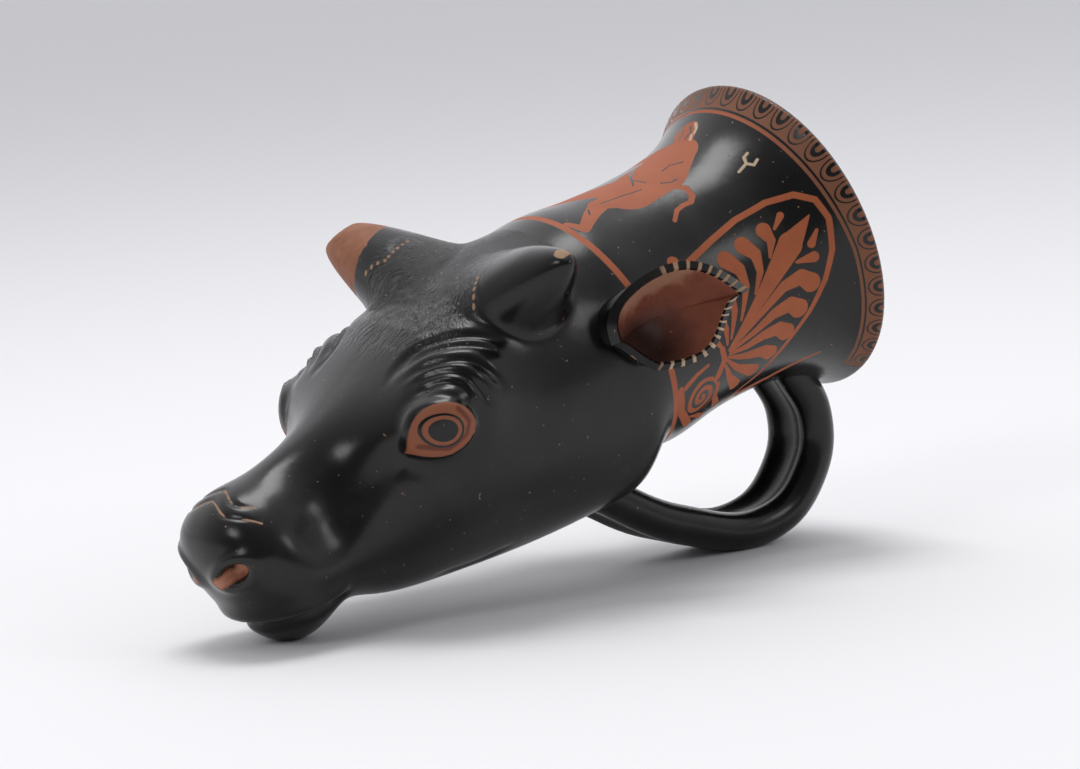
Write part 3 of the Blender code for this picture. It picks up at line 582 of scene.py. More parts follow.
def ball_in_shape(name, shape, finish_of_rings):
    """A sphere whose rings of points are moved to those of the shape, with a finish for each ring of faces."""
    rings, around = shape.shape[:2]
    bpy.ops.mesh.primitive_uv_sphere_add(segments=around, ring_count=rings - 1, radius=1.0)
    thing = bpy.context.object
    thing.name = name
    mesh = thing.data
    points = np.empty(3 * len(mesh.vertices), dtype=np.float32)
    mesh.vertices.foreach_get("co", points)
    points = points.reshape(-1, 3)
    ring = np.rint((np.arcsin(np.clip(points[:, 2], -1.0, 1.0)) / math.pi + 0.5) * (rings - 1)).astype(int)
    step = np.rint(np.arctan2(points[:, 1], points[:, 0]) / (2.0 * math.pi) * around).astype(int) % around
    mesh.vertices.foreach_set("co", shape[ring, step].astype(np.float32).ravel())
    for _ in range(FINISHES):
        mesh.materials.append(None)
    first_point = np.empty(len(mesh.loops), dtype=np.int32)
    mesh.loops.foreach_get("vertex_index", first_point)
    starts = np.empty(len(mesh.polygons), dtype=np.int32)
    mesh.polygons.foreach_get("loop_start", starts)
    mesh.polygons.foreach_set("material_index", finish_of_rings[ring[first_point[starts]]].astype(np.int32))
    mesh.update()
    bpy.ops.object.mode_set(mode="EDIT")
    bpy.ops.mesh.select_all(action="SELECT")
    bpy.ops.mesh.normals_make_consistent(inside=False)
    bpy.ops.object.mode_set(mode="OBJECT")
    bpy.ops.object.select_all(action="DESELECT")
    print(name, len(mesh.polygons), "faces")
    return thing


def vessel_body():
    """The wall: the outside from the muzzle to the rim, the lip, and the hollow."""
    around = np.arange(AROUND) / AROUND * 2.0 * math.pi
    outer = outer_surface(OUTER_RINGS, around)
    lip = lip_surface(LIP_RINGS, around)
    inner = inner_surface(INNER_RINGS, around)
    finish = np.full(OUTER_RINGS + LIP_RINGS + INNER_RINGS, INSIDE)
    finish[:OUTER_RINGS] = np.where(outer[:, :, 0].min(axis=1) > HEAD_LENGTH - PAINT_OVERLAP, CUP_PAINT, SKIN)
    finish[OUTER_RINGS : OUTER_RINGS + LIP_RINGS // 2] = CUP_PAINT
    return ball_in_shape("vessel", np.concatenate([outer, lip, inner]), finish)


vessel = vessel_body()

# %% [markdown]
# ## The ears and the handle
# The ears are leaf-shaped bowls. Each starts as a sphere too: one half of it becomes the bowl's inside and the other
# its back. The handle is a strap with a roll along each edge, which a curve with a bevel object gives exactly, the
# way a potter's strap is pulled through one profile. Joining them with Booleans keeps the sharp crease that the
# modeller left where each was pressed on, and the core keeps the hollow free.

# %% The ears
def ear_outline(around):
    """The leaf's edge, along and across, for half sizes of 1: pointed at the tip, and cut away below it."""
    along = np.cos(around)
    sine = np.sin(around)
    tip = np.maximum(along, 0.0)
    root = np.maximum(-along, 0.0)
    above = 1.0 + 0.85 * tip - 0.3 * root
    below = 1.0 + 5.0 * tip + 4.0 * np.maximum(root - 0.55, 0.0)
    across = np.sign(sine) * np.abs(sine) ** np.where(sine > 0.0, below, above)
    return along, across * np.where(sine > 0.0, 0.95, 1.04)


def ear_inside(deeper=0.0):
    """The bowl of an ear, from its middle to its edge, laid flat."""
    around = np.arange(EAR_STEPS) / EAR_STEPS * 2.0 * math.pi
    reach = np.sin(np.linspace(0.0, math.pi / 2.0, EAR_LEVELS))[:, None]
    outline_along, outline_across = ear_outline(around)
    along = reach * outline_along
    across = reach * outline_across
    root = 0.5 - 0.5 * along
    depth = EAR_DEPTH * (0.55 + 0.75 * root) * (1.0 - reach**2.2) + deeper
    height = EAR_BEND * EAR_LENGTH * along**2 - depth
    return np.stack([along * EAR_LENGTH / 2.0, across * EAR_WIDTH / 2.0, height], axis=2), root, reach


def ear_ways():
    """The directions along an ear, across it and out of its bowl."""
    direction = unit_vector(EAR_ALONG)
    opening = unit_vector(np.array(EAR_OPENING) - np.dot(EAR_OPENING, direction) * direction)
    return np.stack([direction, np.cross(opening, direction), opening])


def on_the_head(local, side):
    """Points laid flat for an ear, moved to their place on the head."""
    points = local @ ear_ways() + np.array(EAR_MIDDLE) * UNIT
    return points * np.array([1.0, side, 1.0])


def ear_shape(side):
    """One ear's points: a leaf-shaped bowl with a rounded edge, its back spread onto the head at its root."""
    inside, root, reach = ear_inside()
    fall = np.sqrt(1.0 - np.minimum(reach, 1.0) ** 2)
    thick = EAR_WALL * (0.6 + 0.4 * fall)
    spread = EAR_ROOT_SPREAD * UNIT * root**2 * np.sqrt(fall)
    wider = 1.0 + 0.35 * EAR_WALL / EAR_WIDTH
    along, across, height = np.moveaxis(inside, 2, 0)
    outside = np.stack([along * wider - spread, across * wider, height - thick - spread], axis=2)
    edge = 0.5 * (inside[-1:] + outside[-1:])
    edge[:, :, :2] *= 1.0 + 0.7 * EAR_WALL / EAR_WIDTH
    return on_the_head(np.concatenate([inside, edge, outside[::-1]]), side)


def ear_hollow(side):
    """The space in an ear's bowl, cut a little into the bowl's wall, up to a lid over its edge."""
    inside, _, _ = ear_inside(EAR_WALL * EAR_CUT)
    lid = inside[-1:] * np.array([EAR_LID, EAR_LID, 1.0]) + np.array([0.0, 0.0, EAR_DEPTH])
    middle = np.repeat(lid.mean(axis=1, keepdims=True), EAR_STEPS, axis=1)
    return on_the_head(np.concatenate([inside, lid, middle]), side)


def ear(name, side):
    """One ear, its bowl in bare clay, its edge slipped and its back glossed."""
    level = np.arange(2 * EAR_LEVELS + 1)
    finish = np.where(level < EDGE_LEVELS[0], EAR_BOWL, np.where(level < EDGE_LEVELS[1], EAR_EDGE, SKIN))
    return ball_in_shape(name, ear_shape(side), finish)


near_ear = ear("near_ear", -1.0)
far_ear = ear("far_ear", 1.0)

# %% The strap handle
WEB_POINTS = 13
ROLL_POINTS = 11
STRAP_STEPS = 20  # between two of its places


def underside(place):
    """The vessel's lowest line at a place along it."""
    x, _, z = nod(np.array([place, 0.0, sections_at([place])[0, 3]]))
    return float(x), float(z)


def strap_profile():
    """The strap's cross-section: a web between two rolls."""
    roll = STRAP_EDGE / 2.0
    roll_place = STRAP_WIDTH / 2.0 - roll
    web = STRAP_WEB / 2.0
    half = []
    for share in np.linspace(-1.0, 1.0, WEB_POINTS):
        half.append((share * roll_place, web + (roll - web) * share**2))
    for turn in np.linspace(math.pi / 2.0, -math.pi / 2.0, ROLL_POINTS)[1:-1]:
        half.append((roll_place + roll * math.cos(turn), roll * math.sin(turn)))
    points = half + [(-across, -up) for across, up in half]
    bpy.ops.mesh.primitive_circle_add(vertices=len(points), radius=1.0)
    profile = bpy.context.object
    for vertex, (across, up) in zip(profile.data.vertices, points):
        vertex.co = (across, up, 0.0)
    bpy.ops.object.convert(target="CURVE")
    profile = bpy.context.object
    profile.data.dimensions = "2D"
    return profile


def strap_handle():
    """The loop of the handle, from inside the cup's wall to inside the throat's."""
    start, cup_line = underside(HEAD_LENGTH + CUP_LENGTH - STRAP_ROOT_FROM_RIM)
    end, throat_line = underside(HEAD_LENGTH + CUP_LENGTH - STRAP_THROAT_FROM_RIM)
    places = [(start, cup_line + CUP_WALL)]
    for share, drop in LOOP_SHAPE:
        places.append((start + share * (end - start), cup_line - drop * STRAP_DROP))
    places.append((end, throat_line + HEAD_WALL))
    profile = strap_profile()
    bpy.ops.object.select_all(action="DESELECT")
    bpy.ops.curve.primitive_bezier_curve_add()
    guide = bpy.context.object
    curve = guide.data
    curve.splines[0].bezier_points.add(len(places) - 2)
    for point, (x, z) in zip(curve.splines[0].bezier_points, places):
        point.co = (x, 0.0, z)
        point.handle_left_type = "AUTO"
        point.handle_right_type = "AUTO"
    curve.dimensions = "3D"
    curve.twist_mode = "MINIMUM"
    curve.resolution_u = STRAP_STEPS
    curve.bevel_mode = "OBJECT"
    curve.bevel_object = profile
    curve.use_fill_caps = True
    bpy.ops.object.convert(target="MESH")
    strap = bpy.context.object
    strap.name = "strap"
    bpy.data.objects.remove(profile)
    bpy.ops.object.mode_set(mode="EDIT")
    bpy.ops.mesh.select_all(action="SELECT")
    bpy.ops.mesh.remove_doubles(threshold=0.00001)
    bpy.ops.mesh.normals_make_consistent(inside=False)
    bpy.ops.object.mode_set(mode="OBJECT")
    strap.data.materials.clear()
    for _ in range(FINISHES):
        strap.data.materials.append(None)
    bpy.ops.object.select_all(action="DESELECT")
    print("strap", len(strap.data.polygons), "faces")
    return strap


strap = strap_handle()

# %% Joining the pieces and laying the vessel down
CORE_AROUND = 64
CORE_RINGS = 70
CORE_PAST_MOUTH = 0.01
SHARP_ANGLE = 55.0  # degrees, past which an edge stays sharp


def core_shape():
    """The hollow's points, grown to the middle of the wall and past the mouth, with a blunt end there."""
    around = np.arange(CORE_AROUND) / CORE_AROUND * 2.0 * math.pi
    inner = inner_surface(CORE_RINGS, around, CUP_WALL / 2.0)
    cap = inner[:1].copy()
    cap[:, :, 0] += CORE_PAST_MOUTH
    pole = np.repeat(cap.mean(axis=1, keepdims=True), len(around), axis=1)
    return np.concatenate([pole, cap, inner])


def boolean(thing, operation, other):
    """Join another mesh to a thing, or cut it away, for good."""
    modifier = thing.modifiers.new("boolean", "BOOLEAN")
    modifier.operation = operation
    modifier.solver = "EXACT"
    modifier.object = other
    bpy.context.view_layer.objects.active = thing
    bpy.ops.object.modifier_apply(modifier=modifier.name)


def join_pieces():
    """Open the ears' bowls, cut the hollow out of the ears and the strap, and join them to the vessel."""
    for side in (-1.0, 1.0):
        bowl = ball_in_shape("bowl", ear_hollow(side), np.full(EAR_LEVELS + 2, EAR_BOWL))
        boolean(vessel, "DIFFERENCE", bowl)
        bpy.data.objects.remove(bowl)
    core = ball_in_shape("core", core_shape(), np.full(CORE_RINGS + 2, INSIDE))
    for piece in (near_ear, far_ear, strap):
        boolean(piece, "DIFFERENCE", core)
        boolean(vessel, "UNION", piece)
        bpy.data.objects.remove(piece)
    bpy.data.objects.remove(core)


LYING = Matrix.Translation(LYING_PLACE) @ Matrix.Rotation(math.radians(LYING_TURN), 4, "Y")


def lay_down():
    """Tip the vessel as it lies, and cut off the little that is worn away under it."""
    vessel.data.transform(LYING)
    bpy.context.view_layer.objects.active = vessel
    vessel.select_set(True)
    bpy.ops.object.mode_set(mode="EDIT")
    bpy.ops.mesh.select_all(action="SELECT")
    bpy.ops.mesh.bisect(plane_co=(0.0, 0.0, 0.0), plane_no=(0.0, 0.0, 1.0), use_fill=True, clear_inner=True)
    bpy.ops.object.mode_set(mode="OBJECT")
    bpy.ops.object.shade_smooth_by_angle(angle=math.radians(SHARP_ANGLE))
    bpy.ops.object.select_all(action="DESELECT")


join_pieces()
lay_down()
print("vessel", sum(len(face.vertices) - 2 for face in vessel.data.polygons), "triangles")

# %% [markdown]
# ## Writing materials as sums
# The painted ornament is mathematics: an egg is a distance, a petal is an angle. With bare nodes such a drawing takes
# hundreds of clicks. So a small class wraps a socket, and Python's own operators add the Math nodes. A second class
# holds one material and the few ways in which its other nodes are added.

# %% Numbers and nodes
SHINE = 0.38  # the strength of the reflections
MM = 1000.0  # in a metre


class Value:
    """A number that changes over the surface. Python's operators on it add Math nodes."""

    def __init__(self, finish, socket):
        self.finish = finish
        self.socket = socket

    def __add__(self, other):
        return self.finish.maths("ADD", self, other)

    __radd__ = __add__

    def __sub__(self, other):
        return self.finish.maths("SUBTRACT", self, other)

    def __rsub__(self, other):
        return self.finish.maths("SUBTRACT", other, self)

    def __mul__(self, other):
        return self.finish.maths("MULTIPLY", self, other)

    __rmul__ = __mul__

    def __truediv__(self, other):
        return self.finish.maths("DIVIDE", self, other)

    def __pow__(self, other):
        return self.finish.maths("POWER", self, other)

    def __abs__(self):
        return self.finish.maths("ABSOLUTE", self)


class Finish:
    """One material of the vessel, and the ways in which its nodes are added."""

    def __init__(self, name):
        self.material = bpy.data.materials.new(name)
        self.material.use_nodes = True
        self.tree = self.material.node_tree
        self.shader = self.tree.nodes["Principled BSDF"]
        self.shader.inputs["Specular IOR Level"].default_value = SHINE

    def feed(self, socket, value):
        """Link a value to a socket, or set it there."""
        if isinstance(value, Value):
            value = value.socket
        if isinstance(value, bpy.types.NodeSocket):
            self.tree.links.new(value, socket)
        else:
            socket.default_value = value

    def node(self, kind, settings, inputs):
        """A node of a type, with its settings, and its inputs by name or number."""
        node = self.tree.nodes.new("ShaderNode" + kind)
        for name, value in settings.items():
            setattr(node, name, value)
        for key, value in inputs.items():
            self.feed(node.inputs[key], value)
        return node

    def maths(self, operation, *numbers):
        """A Math node."""
        return Value(self, self.node("Math", {"operation": operation}, dict(enumerate(numbers))).outputs[0])

    def from_middle(self, number):
        """How far a number is from the middle between two whole ones, 0 to a half."""
        return abs(number - self.maths("FLOOR", number) - 0.5)

    def lesser(self, *numbers):
        """The least of some numbers."""
        least = numbers[0]
        for number in numbers[1:]:
            least = self.maths("MINIMUM", least, number)
        return least

    def greater(self, *numbers):
        """The greatest of some numbers."""
        most = numbers[0]
        for number in numbers[1:]:
            most = self.maths("MAXIMUM", most, number)
        return most

    def hypot(self, first, second):
        """The length of two sides at a right angle."""
        return (first * first + second * second) ** 0.5

    def step(self, value, low, high):
        """0 at low and 1 at high, with a smooth rise between. Low may be the larger."""
        inputs = {"Value": value, "From Min": low, "From Max": high}
        settings = {"interpolation_type": "SMOOTHSTEP", "clamp": False}
        return Value(self, self.node("MapRange", settings, inputs).outputs[0])

    def vector_maths(self, operation, *vectors):
        """A Vector Math node's vector."""
        return self.node("VectorMath", {"operation": operation}, dict(enumerate(vectors))).outputs["Vector"]

    def vector_number(self, operation, *vectors):
        """A Vector Math node's number."""
        return Value(self, self.node("VectorMath", {"operation": operation}, dict(enumerate(vectors))).outputs["Value"])

    def vector_of(self, x, y, z):
        """Three numbers as a vector."""
        return self.node("CombineXYZ", {}, {0: x, 1: y, 2: z}).outputs[0]

    def numbers_of(self, vector):
        """A vector's three numbers."""
        return [Value(self, socket) for socket in self.node("SeparateXYZ", {}, {0: vector}).outputs]

    def place(self, frame, source=None):
        """Places in millimetres in a frame, which is given as the matrix that leads to it."""
        scale = 1.0 if source else MM
        if not source:
            source = self.node("TexCoord", {}, {}).outputs["Object"]
        shift = frame.translation * MM
        inputs = {"Vector": source, "Location": shift, "Rotation": frame.to_euler("XYZ"), "Scale": (scale,) * 3}
        return self.node("Mapping", {"vector_type": "POINT"}, inputs).outputs[0]

    def surface(self, colour, roughness, height):
        """The shader's colour and roughness, and its bump from a height in millimetres."""
        self.feed(self.shader.inputs["Base Color"], colour)
        self.feed(self.shader.inputs["Roughness"], roughness)
        bump = self.node("Bump", {}, {"Strength": 1.0, "Distance": 1.0 / MM, "Height": height})
        self.feed(self.shader.inputs["Normal"], bump.outputs[0])

    def noise(self, vector, scale, detail=2.0, roughness=0.5):
        """Noise between 0 and 1, mostly near a half."""
        inputs = {"Vector": vector, "Scale": scale, "Detail": detail, "Roughness": roughness}
        return Value(self, self.node("TexNoise", {}, inputs).outputs[0])

    def mix(self, share, first, second):
        """The first colour where the share is 0, the second where it is 1."""
        first, second = ((*colour, 1.0) if isinstance(colour, tuple) else colour for colour in (first, second))
        return self.node("Mix", {"data_type": "RGBA"}, {0: share, 6: first, 7: second}).outputs[2]

    def dots(self, vector, start, end, count, radius):
        """A row of dots from one place to another: 1 in them, 0 outside."""
        along = Vector(end) - Vector(start)
        offset = self.vector_maths("SUBTRACT", vector, start)
        share = self.vector_number("DOT_PRODUCT", offset, along / along.length_squared) * (count - 1.0)
        nearest = self.lesser(self.greater(self.maths("ROUND", share), 0.0), count - 1.0) / (count - 1.0)
        dot = self.node("VectorMath", {"operation": "SCALE"}, {0: along, "Scale": nearest}).outputs["Vector"]
        return self.step(self.vector_number("DISTANCE", offset, dot), radius + 0.12, radius - 0.12)

    def stroke(self, vector, start, end, radius, end_radius=None):
        """How far outside a rounded stroke a place is, below 0 inside it."""
        end_radius = radius if end_radius is None else end_radius
        start = Vector(start).to_3d()
        along = Vector(end).to_3d() - start
        offset = self.vector_maths("SUBTRACT", vector, start)
        share = self.vector_number("DOT_PRODUCT", offset, along / along.length_squared)
        share = self.lesser(self.greater(share, 0.0), 1.0)
        nearest = self.node("VectorMath", {"operation": "SCALE"}, {0: along, "Scale": share}).outputs["Vector"]
        return self.vector_number("DISTANCE", offset, nearest) - (radius + (end_radius - radius) * share)

    def drawing(self, vector, shapes):
        """How far outside some bent strokes a place is. Each has its points, and a half width for both ends."""
        nearest = None
        for points, radius, end_radius in shapes:
            radii = np.linspace(radius, end_radius, len(points))
            for part in zip(points[:-1], points[1:], radii[:-1], radii[1:]):
                distance = self.stroke(vector, *part)
                nearest = distance if nearest is None else self.lesser(nearest, distance)
        return nearest


print("Value and Finish are ready")

# %% [markdown]
# ## The frames of the head, the cup and an ear
# A Mapping node turns and shifts Object coordinates into a frame of the vessel itself. In the head's frame a brow has
# the same numbers as in the carving. In the cup's frame a place has a distance from the rim and an angle from the
# top, which is how the painter saw it on the wheel.

# %% The frames
PIVOT = (HEAD_LENGTH, 0.0, RING_RISE * UNIT)
TO_HEAD = LYING.inverted()
TO_CUP = Matrix.Rotation(math.radians(-CUP_NOD), 4, "Y") @ Matrix.Translation(PIVOT).inverted() @ TO_HEAD

TO_EAR = Matrix(ear_ways()).to_4x4() @ Matrix.Translation(Vector(EAR_MIDDLE) * UNIT).inverted()
print("the cup's middle line is turned down by", CUP_NOD, "degrees")

# %% [markdown]
# ## Black gloss
# The black is not a glaze but a fine clay slip that melted to a gloss in the fire. It shines softly, shows the
# brush on the cup, and has worn or flaked in specks down to the tan clay. So the base is nearly black, its roughness
# changes in clouds, and small spots of a noise break through to the clay.

# %% Gloss and clay
GLOSS = (0.0045, 0.0043, 0.0040)
GLOSS_WORN = (0.0125, 0.0110, 0.0098)
SPECK_DARK = (0.10, 0.045, 0.022)
SPECK_PALE = (0.34, 0.19, 0.10)
CLAY_DARK = (0.30, 0.068, 0.022)
CLAY = (0.43, 0.118, 0.040)
RIM_CLAY = (0.20, 0.075, 0.035)
CREAM = (0.50, 0.39, 0.27)
CLAY_ROUGHNESS = 0.62


def glossed(finish, places, colour, paint, bump=0.0):
    """The black gloss under a paint: its colour, its clouds of roughness, its specks and its pits."""
    clouds = finish.noise(places, 0.06, 4.0, 0.6)
    fine = finish.noise(places, 1.1, 3.0, 0.6)
    specks = finish.step(finish.noise(places, 0.55, 2.0, 0.75) + 0.12 * clouds, 0.775, 0.80)
    black = finish.mix(finish.step(clouds, 0.45, 0.75), GLOSS, GLOSS_WORN)
    tan = finish.mix(fine, SPECK_DARK, SPECK_PALE)
    black = finish.mix(specks, black, tan)
    rough = 0.14 + 0.14 * clouds + 0.05 * fine
    rough = rough + paint * (CLAY_ROUGHNESS - rough) + specks * 0.3
    height = 0.04 * finish.noise(places, 0.35, 3.0, 0.5) + 0.007 * fine - 0.04 * specks + bump
    finish.surface(finish.mix(paint, black, colour), finish.lesser(rough, 0.9), height)


print("the gloss is ready")

# %% [markdown]
# ## The painted cup
# In red-figure work the ornament is the bare clay, left free while the ground round it was painted black. On the cup
# there are a band of eggs under the rim, a palmette with a scroll on each side, a striding figure on top, and a line
# where the cup meets the head. Each is drawn as a mask in millimetres from the rim and round the cup.

# %% The eggs under the rim
MM_PER_DEGREE = 0.6  # round the cup
EGGS = 39.74  # round the whole rim
EGG_PITCH = 6.44
BAND_END = 148.0  # degrees from the top, where the band stops beside the handle


def egg_band(finish, from_rim, degrees):
    """The band of eggs: clay, with black hoops and outlines, closed by a black line and a clay line."""
    squeeze = 0.82 + 0.34 * finish.greater(finish.maths("COSINE", degrees * (math.pi / 180.0)), 0.0)
    down = from_rim / squeeze
    turn = (degrees + 2.5) * (EGGS / 360.0) + 0.5
    across = finish.from_middle(turn) * EGG_PITCH
    hoop = finish.hypot(across, finish.greater(down - 2.6, 0.0) * 0.8)
    black = finish.step(abs(hoop - 1.18), 0.55, 0.40)
    black = finish.greater(black, finish.step(abs(hoop - 2.62), 0.24, 0.12))
    black = finish.greater(black, finish.step(abs(down - 6.85), 0.36, 0.20))
    inside = finish.step(from_rim, 0.5, 0.8) * finish.step(down, 8.1, 7.9)
    ends = finish.step(abs(degrees), BAND_END + 0.4, BAND_END)
    return inside * ends * (1.0 - black)


# %% The palmette on each side
# Each petal is a bent stroke: its points, and its half width at the start and at the end, in mm from the rim and
# round the cup from its top.
PETALS = (
    (((20.8, 46.8), (12.9, 42.4)), 3.4, 0.2),  # the middle leaf
    (((20.8, 46.8), (47.5, 65.4)), 3.4, 0.5),
    (((12.8, 46.4), (15.4, 48.9)), 0.4, 1.1),  # towards the handle
    (((16.0, 52.2), (20.8, 51.6)), 1.4, 0.4),
    (((18.6, 58.2), (20.8, 55.8), (26.5, 56.2), (36.6, 60.8), (47.0, 65.6)), 2.6, 0.4),
    (((23.2, 64.0), (25.5, 61.8), (31.0, 62.2), (38.0, 64.4), (47.2, 66.2)), 2.7, 0.4),
    (((27.6, 69.6), (30.0, 67.4), (35.0, 67.0), (41.0, 67.6), (47.5, 66.8)), 2.6, 0.4),
    (((32.6, 74.4), (35.2, 72.4), (39.5, 71.2), (43.5, 69.8), (48.0, 67.5)), 2.3, 0.4),
    (((38.0, 78.2), (41.5, 75.4), (45.0, 72.6), (48.5, 68.2)), 2.1, 0.4),
    (((44.0, 80.2), (47.0, 75.4), (49.2, 69.4)), 1.8, 0.4),
    (((19.4, 39.0), (22.6, 41.2)), 1.0, 0.4),  # towards the top
    (((25.6, 40.3), (25.0, 43.4), (27.4, 47.2)), 2.2, 0.4),
    (((33.2, 41.0), (31.0, 44.6), (31.8, 49.4), (35.4, 54.2)), 2.4, 0.4),
    (((40.0, 42.2), (37.4, 46.2), (37.4, 51.0), (42.0, 59.0)), 2.5, 0.4),
    (((46.4, 45.8), (43.2, 50.0), (43.4, 55.6), (46.4, 62.4)), 2.4, 0.4),
    (((51.8, 50.8), (48.6, 54.6), (47.6, 59.0), (48.0, 63.4)), 2.1, 0.4),
    (((56.0, 56.8), (52.4, 59.6), (49.6, 64.2)), 1.7, 0.4),
)
ARCH = (
    (61.0, 41.5), (50.0, 38.0), (40.2, 35.7), (30.9, 34.0), (20.9, 34.1), (13.6, 36.2), (9.8, 39.9),
    (9.0, 45.1), (11.1, 52.3), (14.8, 58.9), (19.9, 65.8), (27.6, 74.2), (35.0, 82.0), (46.0, 89.0),
)  # fmt: skip


def palmette(finish, place):
    """Petals that open from a heart, inside a pointed arch."""
    return finish.step(finish.drawing(place, PETALS + ((ARCH, 1.0, 0.55),)), 0.1, -0.1)


# %% The scroll, the leaf and the other small ornaments
SCROLL_HEART = (57.7, 75.4)
SCROLL_PITCH = 2.7
SMALL_STROKES = (
    (((39.0, 89.0), (29.4, 88.4), (21.3, 85.2), (15.0, 82.2)), 1.5, 0.3),  # the leaf over the handle
    (((54.6, 36.3), (54.6, 40.0)), 1.8, 1.8),  # the berry
    (((52.0, 71.6), (49.5, 67.5), (50.0, 64.0)), 1.1, 0.9),  # from the scroll to the palmette's heart
    (((66.4, 68.0), (65.4, 76.0), (60.6, 84.6)), 1.1, 1.3),  # beside the line at the ring
    (((64.4, 68.2), (60.0, 66.6), (55.6, 66.0)), 0.9, 0.5),
    (((50.2, 84.0), (52.0, 79.5), (51.4, 74.4)), 1.3, 0.5),
    (((55.6, 85.0), (57.6, 83.0), (61.0, 80.8)), 1.2, 0.4),
)


def small_ornament(finish, place, from_rim, round_cup):
    """The scroll beside the palmette's heart, and the small strokes round it."""
    down = from_rim - SCROLL_HEART[0]
    aside = round_cup - SCROLL_HEART[1]
    radius = finish.hypot(down, aside)
    turn = radius / SCROLL_PITCH - finish.maths("ARCTAN2", down, aside) / (2.0 * math.pi)
    spiral = finish.from_middle(turn) * SCROLL_PITCH
    scroll = finish.step(spiral, 0.85, 0.65) * finish.step(radius, 6.2, 5.9)
    return finish.greater(scroll, finish.step(finish.drawing(place, SMALL_STROKES), 0.1, -0.1))


def ring_line(finish, from_rim, degrees):
    """The line that parts the cup from the head."""
    place = 69.6 + 2.9 * finish.maths("COSINE", degrees * (math.pi / 180.0))
    return finish.step(abs(from_rim - place), 1.1, 0.9)


# %% The figure on top and the white sprig
# Each limb is a bent stroke: its points, its width at the start and at the end, in mm from the rim and round the cup.
LIMBS = (
    (((15.6, -2.6), (18.4, -0.4)), 3.7, 3.1),  # head
    (((18.6, 0.0), (25.0, 2.0)), 2.6, 5.5),  # neck
    (((26.0, 2.0), (37.0, 6.4)), 7.7, 10.2),  # chest and belly
    (((37.0, 6.4), (48.0, 10.0)), 10.2, 7.6),  # hips
    (((48.0, 10.0), (56.6, 8.6)), 7.2, 3.2),  # rear leg
    (((56.6, 8.8), (61.5, 11.4), (68.4, 16.2)), 3.0, 1.5),
    (((68.6, 16.4), (70.6, 11.8)), 1.4, 0.9),
    (((46.0, 4.0), (55.0, -4.0), (62.0, -7.0), (69.0, -11.0)), 6.4, 1.5),  # forward leg
    (((69.0, -11.0), (70.6, -15.5)), 1.4, 0.9),
    (((25.0, -4.0), (31.0, -13.0), (25.0, -20.0)), 3.6, 1.8),  # arm
    # tail
    (((36.8, 16.0), (34.9, 18.2), (35.6, 21.6), (37.4, 23.2), (39.8, 22.9), (42.6, 23.4), (45.6, 26.0)), 1.0, 0.6),
)
DRAWN_LINES = (
    ((33.4, -4.6), (38.4, -1.2), (41.4, 3.4), (40.6, 8.4)),
    ((35.6, -3.0), (40.0, 1.6), (43.6, 7.0)),
    ((44.0, 10.6), (50.0, 9.2), (56.0, 8.4)),
    ((27.5, 8.8), (30.5, 6.6), (33.6, 7.2)),
    ((38.2, 12.0), (36.0, 13.8), (34.0, 13.6)),
    ((13.6, -2.6), (15.6, -0.6), (18.8, 0.2)),
    ((14.4, -5.0), (16.6, -3.2), (19.2, -2.4)),
    ((61.0, 9.2), (62.6, 11.6)),
)
WREATH = (((12.7, -1.4), (14.4, 0.6), (16.2, 1.4)), ((16.9, 1.0), (18.8, 2.4)))
SPRIG = (((20.5, 23.0), (17.4, 22.3), (16.6, 20.5), (15.1, 20.2)), ((17.4, 22.4), (16.3, 24.0), (14.7, 23.4)))


def figure(finish, place):
    """A striding figure with a tail, left in clay, with thin black lines on it."""
    body = finish.step(finish.drawing(place, LIMBS), 0.1, -0.1)
    return body * finish.step(finish.drawing(place, [(points, 0.22, 0.22) for points in DRAWN_LINES]), 0.0, 0.12)


def sprig(finish, place):
    """A small sprig and the figure's wreath in added white."""
    return finish.step(finish.drawing(place, [(points, 0.42, 0.42) for points in SPRIG + WREATH]), 0.1, -0.1)


# %% The cup's material
def painted_cup():
    """Gloss with all of the cup's ornament."""
    finish = Finish("painted_cup")
    places = finish.place(TO_CUP)
    along, sideways, upward = finish.numbers_of(places)
    from_rim = MM * CUP_LENGTH - along
    degrees = finish.maths("ARCTAN2", -1.0 * sideways, upward) * (180.0 / math.pi)
    round_cup = degrees * MM_PER_DEGREE
    place = finish.vector_of(from_rim, round_cup, 0.0)
    side_place = finish.vector_of(from_rim, abs(round_cup), 0.0)
    clay = finish.greater(
        egg_band(finish, from_rim, degrees),
        palmette(finish, side_place),
        small_ornament(finish, side_place, from_rim, abs(round_cup)),
        ring_line(finish, from_rim, degrees),
        figure(finish, place),
    )
    white = sprig(finish, place)
    tone = finish.noise(places, 0.12, 3.0)
    colour = finish.mix(tone, CLAY_DARK, CLAY)
    colour = finish.mix(finish.step(from_rim, 9.0, 7.5), colour, RIM_CLAY)
    colour = finish.mix(white, colour, CREAM)
    glossed(finish, places, colour, finish.greater(clay, white))
    return finish.material


cup_paint = painted_cup()
print("painted cup:", len(cup_paint.node_tree.nodes), "nodes")

# %% [markdown]
# ## The head's gloss, the inside and the ear
# The head is nearly all gloss. Its painter left the eye, the nostril and a few dots by the horns in clay, and the
# broken horn shows the raw clay. The hair on the brow was scratched in, so it is bump alone. The inside is only
# washed with slip. The ear's bowl is bare clay with a fringe of short dashes.

